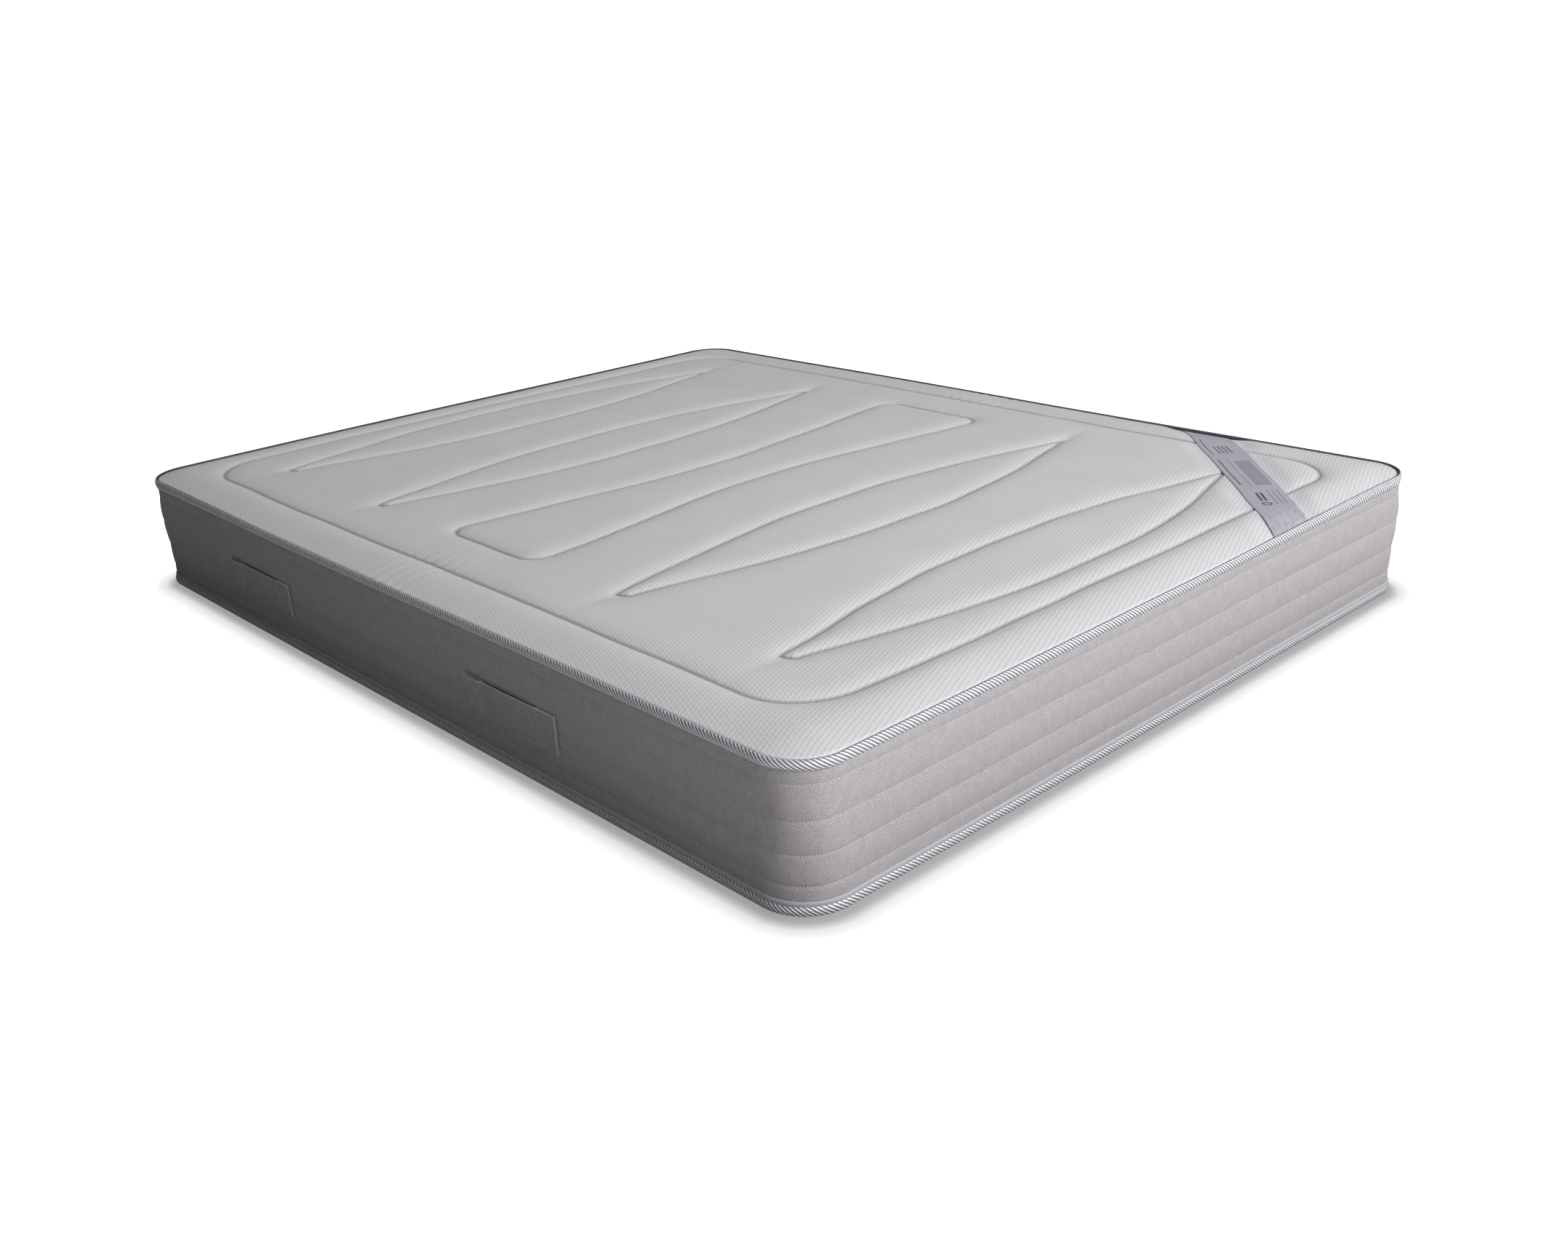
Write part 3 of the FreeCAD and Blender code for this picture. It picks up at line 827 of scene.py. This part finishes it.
KNIT = knit_finish("knit", srgb(224, 224, 227), srgb(186, 186, 190), 0.0004)
UNDER_KNIT = knit_finish("under_knit", srgb(205, 205, 208), srgb(176, 176, 180), 0.0004)
BORDER = melange_finish("border_weave", srgb(114, 109, 111), srgb(208, 203, 206))
HANDLE = melange_finish("handle_weave", srgb(110, 105, 108), srgb(202, 196, 200), 0.031)
TAPE_COLOURS = srgb(248, 249, 251), srgb(104, 109, 121)
TOP_TAPE = tape_finish("top_edge_tape", *TAPE_COLOURS, TAPE_SLANT, TOP_LIP, 0.0184)
BOTTOM_TAPE = tape_finish("bottom_edge_tape", *TAPE_COLOURS, -TAPE_SLANT, BOTTOM_LIP, 0.0250)
SATIN = satin_finish("satin_ribbon")
THREAD = thread_finish("border_thread", srgb(228, 225, 226))
STRAP_THREAD = thread_finish("strap_thread", srgb(226, 222, 222))
# painted shade: the quilting thread is white, coloured grey for the shade it lies in at the seam's groove
SHADED_QUILT_THREAD = thread_finish("quilt_thread", srgb(132, 131, 134))
CORE_FOAM = foam_finish("core_foam", srgb(236, 230, 208), 0.0022)
MEMORY_FOAM = foam_finish("memory_foam", srgb(206, 220, 234), 0.0012)
FILLING = foam_finish("quilt_filling", srgb(240, 238, 232), 0.0016)
BACKING = cloth_finish("backing_cloth", srgb(214, 214, 214), 0.0012)


# Quilted top and underside

PANEL_LAP = 0.0005                            # how far above the CAD panel's edge its back lies


def closed_panel(panel, piece, level, finish, nodes):
    """Settle a panel, shut its back and say what it is."""
    set_points(piece, settled(points_of(piece)))
    piece = panel.close_back(piece, level)
    mark_seam_shade(piece, panel.distance)
    finished(piece, finish, nodes)


def make_top():
    panel = Panel(face=1, level=TOP + 0.0026, roll=0.004, wall=0.006, depth=0.0082, soft=0.012,
                  drop=0.011, bulge=RIM_BULGE)
    piece = panel.build("quilted_top", 0.0088)
    rim_part = 1 - smooth(0.012, 0.030, panel.edge_distance(panel.flat))
    hold = np.where(panel.distance < 0.0016, 1.0, np.maximum(0.20, rim_part))
    slack = np.exp(-panel.distance / 0.03)
    inflated(piece, hold, slack, pressure=1.5, frames=18, cap=0.004, spare=0.014)
    panel.press_ribbon(piece)
    hidden = ["top_cover", "top_quilt_foam"]
    closed_panel(panel, piece, cover_low.z + PANEL_LAP, KNIT, hidden)
    quilt_stitches("top_seam_thread", "top_quilt_stitching", panel, *TOP_STITCH)
    return panel


def make_underside():
    panel = Panel(face=-1, level=base_low.z + 0.0002, roll=0.009, wall=0.002, depth=0.003, soft=0.010,
                  drop=0.0, bulge=0.0)
    piece = panel.build("quilted_underside", 0.0135)
    points = points_of(piece)
    points[:, 2] = np.maximum(points[:, 2], base_low.z)
    set_points(piece, points)
    hidden = ["base_cover", "base_quilt_wadding"]
    closed_panel(panel, piece, base_high.z + PANEL_LAP, UNDER_KNIT, hidden)
    quilt_stitches("base_seam_thread", "base_quilt_stitching", panel, *BASE_STITCH)


# Border

ROWS = (0.047, 0.093, 0.143, 0.194)           # heights of the stitched rows
BESIDE_ROW = (-0.0045, -0.0016, 0.0, 0.0016, 0.0045)
BORDER_TUCK = 0.003                           # how far it runs on behind each tape
BORDER_LAYER = 0.004                          # its thickness
CHANNEL_CROWN = 0.0012
GROOVE_DEPTH, GROOVE_WIDTH = 0.0010, 0.0016
CORNER_BELLY = 0.0045                         # how far it bulges at a corner, a little above the middle
SIDE_WAVE = 0.0012
CREASE_DEPTH = 0.0012
# Creases by the front left corner: distance from the front, lean, size and length
CREASES = [(0.034, 0.9, 0.8, 0.016), (0.052, 1.1, 1.0, 0.022), (0.071, 0.9, 0.7, 0.014),
           (0.094, 1.2, 1.0, 0.020), (0.118, 0.8, 0.6, 0.013), (0.139, 1.0, 0.9, 0.018),
           (0.166, -0.7, 0.5, 0.012), (0.190, 0.9, 0.7, 0.014), (0.222, 0.8, 0.5, 0.011),
           (0.258, -0.6, 0.4, 0.010)]


def border_inset(s, out, z):
    """Inset of the border's outer face at a height: padded channels between narrow sewn grooves."""
    levels = np.array((side_low.z,) + ROWS + (side_high.z,))
    k = np.clip(np.searchsorted(levels, z) - 1, 0, len(levels) - 2)
    wide = levels[k + 1] - levels[k]
    crown = np.sin(np.clip((z - levels[k]) / wide, 0, 1) * math.pi) ** 0.8 * min(1, wide / 0.045)
    groove = sum(math.exp(-abs(z - row) / GROOVE_WIDTH) for row in ROWS)
    channel = BORDER_INSET + 0.0002 - CHANNEL_CROWN * crown + GROOVE_DEPTH * groove
    belly = math.exp(-((z - 0.150) / 0.055) ** 2)
    corner = smooth(0.2, 0.95, 2 * np.abs(out[:, 0] * out[:, 1]))
    wave = np.sin(s * 9.1 + 1.3 * np.sin(s * 2.2))
    return channel - CORNER_BELLY * belly * corner - SIDE_WAVE * belly * wave


def border_columns(count):
    """Even steps round the border, and much finer ones where it is creased at the front left corner."""
    creased = RIM_A + RIM_ARC + 2 * RIM_B
    fine = np.arange(creased - 0.30, creased + RIM_ARC * 0.6, 0.0021)
    even = np.linspace(0, RIM_LENGTH, count, endpoint=False)
    clear = (even < fine[0] - 0.004) | (even > fine[-1] + 0.004)
    return np.sort(np.concatenate([even[clear], fine]))


def make_border():
    beside = [row + offset for row in ROWS for offset in BESIDE_ROW]
    between = np.linspace(side_low.z - BORDER_TUCK, side_high.z + BORDER_TUCK, 34)
    clear = np.min(np.abs(between[:, None] - np.array(ROWS)), axis=1) > 0.0062
    levels = np.sort(np.concatenate([between[clear], beside]))
    s = border_columns(880)
    columns = len(s)
    point, out = rim(s)
    outward = np.tile(out, (len(levels), 1))
    rows = [raised(point - out * border_inset(s, out, z)[:, None], z) for z in levels]
    uv = [raised(s, z) for z in levels]
    faces = ring_faces(len(levels), columns)
    piece = mesh_piece("border_panel", np.vstack(rows), faces, np.vstack(uv))
    held = [min(abs(z - r) for r in ROWS + (levels[0], levels[-1])) < 0.0006 for z in levels]
    hold = np.repeat(np.where(held, 1.0, 0.06), columns)
    inflated(piece, hold, np.full(len(hold), 0.5), pressure=0.8, frames=12, cap=0.0012, spare=0.008)
    outer = points_of(piece) + wrinkles(np.vstack(rows), outward)
    outer = settled(flat_behind_straps(outer))
    bpy.data.objects.remove(piece)
    inner = outer - raised(outward * BORDER_LAYER, 0.0)
    count = len(outer)
    both = faces + [tuple(v + count for v in reversed(f)) for f in faces]
    last = count - columns
    for j in range(columns):
        k = (j + 1) % columns
        both.append((k, j, count + j, count + k))
        both.append((last + j, last + k, count + last + k, count + last + j))
    piece = mesh_piece("border_panel", np.vstack([outer, inner]), both, np.vstack(uv * 2))
    finished(piece, BORDER, ["border_fabric"])
    sewn_rows("border_row_thread", "border_stitching", ROWS,
              lambda s, out, z: border_inset(s, out, z) - 0.0003, *ROW_STITCH)


def flat_behind_straps(points):
    """The sewn straps hold the border's channels flat."""
    x, y, z = points.T.copy()
    for key in STRAPS:
        low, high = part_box("handle_ends_" + key)
        reach_y = np.maximum(low.y - y, y - high.y)
        reach_z = np.maximum(low.z - z, z - high.z)
        near = 1 - smooth(0.0, 0.02, np.maximum(reach_y, reach_z))
        excess = np.clip(np.abs(x) - FACE, 0, None)
        x -= np.sign(x) * excess * near * (np.sign(x) == np.sign(low.x))
    return np.column_stack([x, y, z])


def wrinkles(points, out):
    """Short slanting creases under the top tape by the front left corner."""
    x, y, z = points.T
    move = np.zeros(len(points))
    along = y + HALF_Y
    down = side_high.z - z
    wander = 0.0022 * flat_swell(along, down, 0.016, 61)
    for start, lean, size, length in CREASES:
        line = along - start - lean * down + wander
        across = np.exp(-(line / 0.0030) ** 2) - 0.8 * np.exp(-((line - 0.0052) / 0.0032) ** 2)
        move += size * across * np.exp(-((down - length * 0.5) / length) ** 2)
    move *= (x < -HALF_X + CORNER) * smooth(0.0, 0.004, down) * smooth(0.0185, 0.0130, down)
    return raised(out * (CREASE_DEPTH * move)[:, None], 0.0)


# Edge tapes

RIB_SEGMENTS = 6
RIB_HEIGHT = 0.00050
TAPE_PROUD = 0.0062                           # how much higher the top tape stands at the rear and right


def make_tape(name, low, high, up, lip, finish, node):
    """Ribbed tape. up is +1 where the lip hangs below the band, as on the top edge."""
    columns = round(RIM_LENGTH / TAPE_PITCH) * RIB_SEGMENTS
    s = np.linspace(0, RIM_LENGTH, columns, endpoint=False)
    tall = high - low
    # The section, as (inset, rise): the lip, the crowned band and its edge turned in over the panel
    shape = [(0.0080, 0.0), (0.0024, 0.0), (0.0017, 0.0008), (0.0014, 0.0020), (0.0014, lip - 0.0008),
             (0.0017, lip), (0.0008, lip + 0.0006), (-0.0002, lip + 0.0024), (-0.0007, lip + 0.0045),
             (-0.0008, (lip + tall) / 2), (-0.0005, tall - 0.0058), (0.0003, tall - 0.0036),
             (0.0014, tall - 0.0020), (0.0030, tall - 0.0012), (0.0050, tall - 0.0016),
             (0.0085, tall - 0.0042)]
    rows, uv, run, slide = [], [], 0.0, 0.0
    lean = -up * math.tan(math.radians(TAPE_SLANT))
    for k, (inset, rise) in enumerate(shape):
        step = math.hypot(inset - shape[k - 1][0], rise - shape[k - 1][1]) if k > 1 else 0.0
        run += step
        slide += step * lean
        ribbed = smooth(lip, lip + 0.0010, rise) * smooth(0.0048, 0.0022, inset)
        lift = RIB_HEIGHT * ribbed * np.sin(2 * math.pi * s / TAPE_PITCH)
        point, out = rim(s + slide)
        far = smooth(-0.3, 0.9, np.maximum(out[:, 0], out[:, 1]))
        far = np.maximum(far, np.maximum(smooth(-0.1, 0.7, point[:, 0]), smooth(0.2, 0.95, point[:, 1])))
        proud = TAPE_PROUD * far * rise / tall
        z = low + rise + proud if up > 0 else high - rise
        rows.append(raised(point - out * (inset - lift)[:, None], z))
        uv.append(raised(s + slide, run))
    faces = ring_faces(len(shape), columns, close_rows=True)
    if up < 0:
        faces = [tuple(reversed(f)) for f in faces]
    piece = mesh_piece(name, settled(np.vstack(rows)), faces, np.vstack(uv))
    finished(piece, finish, [node])


def make_edges():
    make_tape("top_binding", tape_low.z, tape_high.z, 1, TOP_LIP, TOP_TAPE, "top_edge_tape")
    make_tape("bottom_binding", foot_low.z, foot_high.z, -1, BOTTOM_LIP, BOTTOM_TAPE, "bottom_edge_tape")
    for edge in ("top", "bottom"):
        low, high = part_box(edge + "_tape_thread")
        sewn_rows(edge + "_binding_thread", edge + "_tape_thread", [(low.z + high.z) / 2],
                  lambda s, out, z: np.full(len(s), 0.0012), *TAPE_STITCH)


# Carry straps and ribbon

def band(name, path, half_thick, uv):
    """A flat band as one closed mesh: path[i, j] is its middle surface, i along and j across.

    half_thick is one value per column, so that the edges can be turned in and rounded."""
    normal = np.cross(np.gradient(path, axis=0), np.gradient(path, axis=1))
    normal /= np.linalg.norm(normal, axis=2, keepdims=True) + 1e-12
    front = path + normal * half_thick[None, :, None]
    back = path - normal * half_thick[None, :, None]
    loop = np.concatenate([front, back[:, ::-1]], axis=1)
    rows, columns = loop.shape[:2]
    flat = np.concatenate([uv, uv[:, ::-1]], axis=1)
    faces = ring_faces(rows, columns)
    caps = [tuple(range(columns)), tuple(reversed(range((rows - 1) * columns, rows * columns)))]
    piece = mesh_piece(name, loop.reshape(-1, 3), faces + caps, flat.reshape(-1, 2))
    for polygon in piece.data.polygons:
        if len(polygon.vertices) > 4:
            polygon.use_smooth = False
    return piece


STRAPS = ("left_front", "left_rear", "right_front", "right_rear")
strap_low, strap_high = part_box("handle_strap_left_front")
STRAP_MIDDLE_Z = (strap_low.z + strap_high.z) / 2
STRAP_HALF = 0.1225
STRAP_WIDE = 0.031                            # half its width
STRAP_SEWN = 0.0745                           # where the free span ends, from the strap's middle
STRAP_HEM = 0.050
STRAP_LAYER = 0.0010                          # half the thickness of one layer
STRAP_UNDER = 0.0012                          # the hem's distance from the border
STRAP_DOWN = 0.0034                           # the sewn end's front layer, from the border
STRAP_FREE = 0.0037                           # how far its free span stands off the border
FACE = HALF_X - BORDER_INSET                  # the border's outer face on the long sides
BOX_OUT, BOX_TALL = 0.1120, 0.0255            # the stitched box's outer end and half height


def box_lines():
    """Stitched box with one diagonal cross, in strap coordinates (from the middle, up)."""
    a, b = (STRAP_SEWN, -BOX_TALL), (BOX_OUT, -BOX_TALL)
    c, d = (BOX_OUT, BOX_TALL), (STRAP_SEWN, BOX_TALL)
    return [(a, b), (b, c), (c, d), (d, a), (a, c), (b, d)]


def line_distance(q, v, first, last):
    """Distance in the plane from points (q, v) to a stretch of line."""
    dq, dv = last[0] - first[0], last[1] - first[1]
    q, v = q - first[0], v - first[1]
    t = np.clip((q * dq + v * dv) / (dq * dq + dv * dv), 0, 1)
    return np.hypot(q - t * dq, v - t * dv)


def strap_front(q, v, opened):
    """Distance of the strap's front layer from the border's face; an opened end gapes at its top."""
    free = smooth(STRAP_SEWN, 0.030, q)
    height = STRAP_DOWN * (1 - free) + (STRAP_FREE + 0.0006 * v / STRAP_WIDE) * free
    upper = smooth(0.004, STRAP_WIDE, v)
    height = height + 0.0003 * upper * smooth(STRAP_SEWN + 0.01, 0.040, q)
    if opened:
        mouth = smooth(0.0700, 0.0800, q) * (1 - 0.25 * smooth(0.105, STRAP_HALF, q))
        height = height + 0.0032 * mouth * smooth(0.016, STRAP_WIDE, v)
    else:
        height = height + 0.0013 * smooth(0.1140, 0.1205, q) * (0.75 + 0.35 * upper)
    for first, last in box_lines():
        height = height - 0.0012 * np.exp(-(line_distance(q, v, first, last) / 0.0018) ** 2)
    return height


def strap_place(side, centre, way, q, v, w):
    """Strap coordinates to the frame: q from the middle, v up, w out of the border's face."""
    return np.stack([side * (FACE + w), centre + way * q, STRAP_MIDDLE_Z + v], axis=-1)


def make_strap_half(name, side, centre, way, opened, seed):
    """From the middle of the strap to one end, round the fold and back under it."""
    across = np.linspace(-1, 1, 33)
    across = STRAP_WIDE * np.sign(across) * np.abs(across) ** 0.8
    edge = np.clip(1 - (np.abs(across) / STRAP_WIDE) ** 10, 0, 1) ** 0.5
    thick = STRAP_LAYER * (0.12 + 0.88 * edge)
    thick += 0.0003 * np.exp(-((np.abs(across) - 0.0285) / 0.0018) ** 2)
    front = np.linspace(0, STRAP_HALF - 0.002, 76)
    under = np.linspace(STRAP_HALF - 0.002, STRAP_HALF - STRAP_HEM, 30)
    turn = np.linspace(0, math.pi, 9)[1:-1]
    columns, run = [], []
    for v in across:
        high = strap_front(front, np.full(len(front), v), opened)
        r = (high[-1] - STRAP_UNDER) / 2
        q = np.concatenate([front, front[-1] + np.sin(turn) * min(r, 0.0030), under])
        w = np.concatenate([high, STRAP_UNDER + r + np.cos(turn) * r, np.full(len(under), STRAP_UNDER)])
        columns.append(np.column_stack([q, w]))
        run.append(np.concatenate([[0], np.cumsum(np.hypot(np.diff(q), np.diff(w)))]))
    columns = np.stack(columns, axis=1)
    run = np.stack(run, axis=1)
    q, w = columns[..., 0], columns[..., 1]
    v = np.broadcast_to(across, q.shape)
    crease = flat_swell(q.ravel() * way, v.ravel(), 0.030, seed).reshape(q.shape)
    w = w + 0.0007 * crease * smooth(0.0015, 0.0032, w)
    v = v * (1 + 0.012 * flat_swell(q.ravel() * way, 0 * q.ravel(), 0.05, seed + 1).reshape(q.shape))
    path = strap_place(side, centre, way, q, v, w)
    if way * side > 0:
        path, run, v, thick = path[:, ::-1], run[:, ::-1], v[:, ::-1], thick[::-1]
    flat = np.stack([run * way + seed, v], axis=-1)
    shape = settled(path.reshape(-1, 3)).reshape(path.shape)
    return band(name, shape, thick, flat)


def make_strap_stitches(name, side, centre, node):
    """Box and cross at both ends of a strap."""
    centres, along, outward = [], [], []
    pitch, length, radius = STRAP_STITCH
    for way in (1, -1):
        for first, last in box_lines():
            count = int(math.dist(first, last) / pitch)
            t = (np.arange(count) + 0.5) / count
            dq, dv = last[0] - first[0], last[1] - first[1]
            q, v = first[0] + dq * t, first[1] + dv * t
            w = strap_front(q, v, way * side < 0) + STRAP_LAYER
            centres.append(strap_place(side, centre, way, q, v, w))
            along.append(strap_place(side, centre, way, q + 1e-4 * dq, v + 1e-4 * dv, w) - centres[-1])
            outward.append(np.tile([side, 0, 0], (count, 1)))
    sewing(name, node, STRAP_THREAD, centres, along, outward, length, radius)


def make_straps():
    """Each strap in two halves, which blend from the sewn end to the free middle."""
    for key in STRAPS:
        side = -1 if key.startswith("left") else 1
        low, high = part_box("handle_strap_" + key)
        centre = (low.y + high.y) / 2
        for way, part in ((1, "handle_strap_"), (-1, "handle_ends_")):
            opened = way * side < 0
            name = f"strap_{key}_{'open' if opened else 'rolled'}_end"
            piece = make_strap_half(name, side, centre, way, opened, 40 + len(key))
            finished(piece, HANDLE, [part + key], None)
            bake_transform(piece)
        make_strap_stitches("strap_thread_" + key, side, centre, "handle_stitching_" + key)


def make_ribbon_half(name, panel, way, node):
    """Satin ribbon from its middle to one end, over the rim and down behind the tape."""
    across = np.linspace(-1, 1, 45) * RIBBON_HALF_WIDTH
    along = np.linspace(0, 1, 220)
    hem = panel.fold - panel.reach + 0.0055
    if way < 0:
        end = (-HALF_Y + hem - RIBBON_MIDDLE[1]) * math.sqrt(2) + across
    else:
        end = (HALF_X - hem - RIBBON_MIDDLE[0]) * math.sqrt(2) - across
    s = along[:, None] * end[None, :]
    v = np.broadcast_to(across, s.shape)
    flat = RIBBON_MIDDLE + s.reshape(-1, 1) * DIAGONAL + v.reshape(-1, 1) * ACROSS
    points, normals = panel.surface(flat)
    remaining = (np.abs(end)[None, :] - np.abs(s)).ravel()
    lift = 0.0002 * (1 + flat_swell(s.ravel(), v.ravel(), 0.09, 51)) - panel.dip(flat)
    if way < 0:
        crumple = smooth(0.110, 0.060, remaining) * smooth(0.004, 0.022, remaining)
        folds = flat_swell(s.ravel() * 0.30 + v.ravel() * 0.55, v.ravel(), 0.019, 53)
        small = flat_swell(s.ravel() * 0.5 - v.ravel() * 0.4, v.ravel(), 0.012, 54)
        lift += crumple * (0.0050 * np.abs(folds) + 0.0016 * np.abs(small))
    points = points + normals * (lift - RIBBON_SINK)[:, None]
    points = settled(points).reshape(s.shape + (3,))
    uv = np.stack([s, v], axis=-1)
    if way > 0:
        points, uv = points[:, ::-1], uv[:, ::-1]
    piece = band(name, points, np.full(len(across), 0.00016), uv)
    finished(piece, SATIN, [node], None)
    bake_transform(piece)


# Stage, light and camera

GREY = (0.86, 0.86, 0.86, 1)
CONTACT_SHADOW_GREY = (0.10, 0.10, 0.10, 1)
FLOOR_REACH = 30.0
FLOOR_GLOW = 1.03                             # the floor's own light, for the camera only
CONTACT_SHADOW_GLOW = 0.35                           # what is left of it in the painted contact shadow where the mattress stands
SKY, SEEN_SKY = 0.029, 1.05                   # the sky's strength, and its strength for the camera
# Lights: place, target, size and power
LIGHTS = {"key": ((0.8, -4.3, 2.6), (0.6, -0.8, 0.1), (4.5, 1.2), 224),
          "overhead": ((0.2, 1.0, 3.0), (0.0, 0.2, 0.2), (2.5, 2.5), 27),
          "left": ((-2.3, -2.3, 0.7), (-0.8, -0.8, 0.1), (1.0, 0.8), 6.2),
          "back": ((3.0, 3.8, 0.5), (0.4, 0.5, 0.1), (2.0, 0.8), 7)}


def floor_finish():
    """Pale floor that glows for the camera, with a painted contact shadow: less glow and a darker grey close
    to the tapes' outline.
    """
    f = Finish("floor", roughness=0.9, specular=0.1)
    seen = f.node("LightPath", {}, "Is Camera Ray")
    away = f.vector("SUBTRACT", f.vector("ABSOLUTE", f.where("Object")), (RIM_A, RIM_B, 0))
    away = f.vector("LENGTH", f.vector("MAXIMUM", away, (0, 0, 0)), output="Value")
    # painted contact shadow: the glow falls off towards the tapes' outline
    near = f.ramp(away, CORNER, CORNER + 0.040, CONTACT_SHADOW_GLOW, FLOOR_GLOW)
    glow = f.math("MINIMUM", near, f.ramp(away, CORNER, CORNER + 0.062, 0.62, FLOOR_GLOW))
    f.shader.inputs["Emission Color"].default_value = (1, 1, 1, 1)
    f.put(f.shader.inputs["Emission Strength"], f.math("MULTIPLY", seen, glow))
    # painted contact shadow: the floor's grey darkens close to the mattress
    return f.colour(f.mix(f.ramp(away, CORNER + 0.05, CORNER + 0.25), CONTACT_SHADOW_GREY, GREY))


def make_stage():
    """A floor and a sky without a horizon, both near white to the camera."""
    mesh = bpy.data.meshes.new("floor")
    corners = [(-FLOOR_REACH, -FLOOR_REACH, 0), (FLOOR_REACH, -FLOOR_REACH, 0),
               (FLOOR_REACH, FLOOR_REACH, 0), (-FLOOR_REACH, FLOOR_REACH, 0)]
    mesh.from_pydata(corners, [], [(0, 1, 2, 3)])
    mesh.materials.append(floor_finish())
    floor = bpy.data.objects.new("floor", mesh)
    bpy.context.scene.collection.objects.link(floor)
    world = bpy.data.worlds.new("studio")
    bpy.context.scene.world = world
    world.use_nodes = True
    tree = world.node_tree
    background = tree.nodes["Background"]
    background.inputs["Color"].default_value = (0.97, 0.98, 1.0, 1)
    seen = tree.nodes.new("ShaderNodeLightPath").outputs["Is Camera Ray"]
    strength = tree.nodes.new("ShaderNodeMapRange")
    strength.inputs["To Min"].default_value = SKY
    strength.inputs["To Max"].default_value = SEEN_SKY
    tree.links.new(seen, strength.inputs["Value"])
    tree.links.new(strength.outputs["Result"], background.inputs["Strength"])


def make_lights():
    for name, (place, target, size, power) in LIGHTS.items():
        light = bpy.data.lights.new(name, "AREA")
        light.shape = "RECTANGLE"
        light.size, light.size_y = size
        light.energy = power
        lamp = bpy.data.objects.new(name, light)
        bpy.context.scene.collection.objects.link(lamp)
        lamp.location = place
        lamp.rotation_mode = "QUATERNION"
        lamp.rotation_quaternion = (Vector(target) - Vector(place)).to_track_quat("-Z", "Y")


def make_camera():
    yaw, pitch, roll = 0.8386, 0.3900, -0.0519      # radians, from +X, downwards and about its axis
    ahead = Vector((math.cos(yaw) * math.cos(pitch), math.sin(yaw) * math.cos(pitch), -math.sin(pitch)))
    level = Vector((math.sin(yaw), -math.cos(yaw), 0))
    upright = level.cross(ahead)
    right = level * math.cos(roll) + upright * math.sin(roll)
    up = upright * math.cos(roll) - level * math.sin(roll)
    data = bpy.data.cameras.new("camera")
    data.sensor_width, data.lens = 36.0, 33.8
    data.shift_x, data.shift_y = 0.0077, 0.0031
    place = (-1.856, -2.140, 1.050)
    camera = bpy.data.objects.new("camera", data)
    bpy.context.scene.collection.objects.link(camera)
    axes = Matrix((right, up, -ahead)).transposed().to_4x4()
    camera.matrix_world = Matrix.Translation(place) @ axes
    bpy.context.scene.camera = camera


def paint_hidden_layers():
    """Foam and cloth finishes for the CAD nodes inside."""
    finishes = {"support_core": CORE_FOAM, "memory_foam_layer": MEMORY_FOAM, "border_foam": FILLING}
    for node in ("top_quilt_backing", "base_quilt_backing", "border_backing", "handle_backing_patches"):
        finishes[node] = BACKING
    for node, finish in finishes.items():
        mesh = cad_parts[node].data
        mesh.materials.clear()
        mesh.materials.append(finish)


TOP_PANEL = make_top()
make_underside()
make_border()
make_edges()
make_straps()
make_ribbon_half("ribbon_front_half", TOP_PANEL, -1, "label_ribbon")
make_ribbon_half("ribbon_side_half", TOP_PANEL, 1, "label_ribbon_ends")
paint_hidden_layers()
make_stage()
make_lights()
make_camera()
bpy.context.scene.view_settings.view_transform = "Standard"
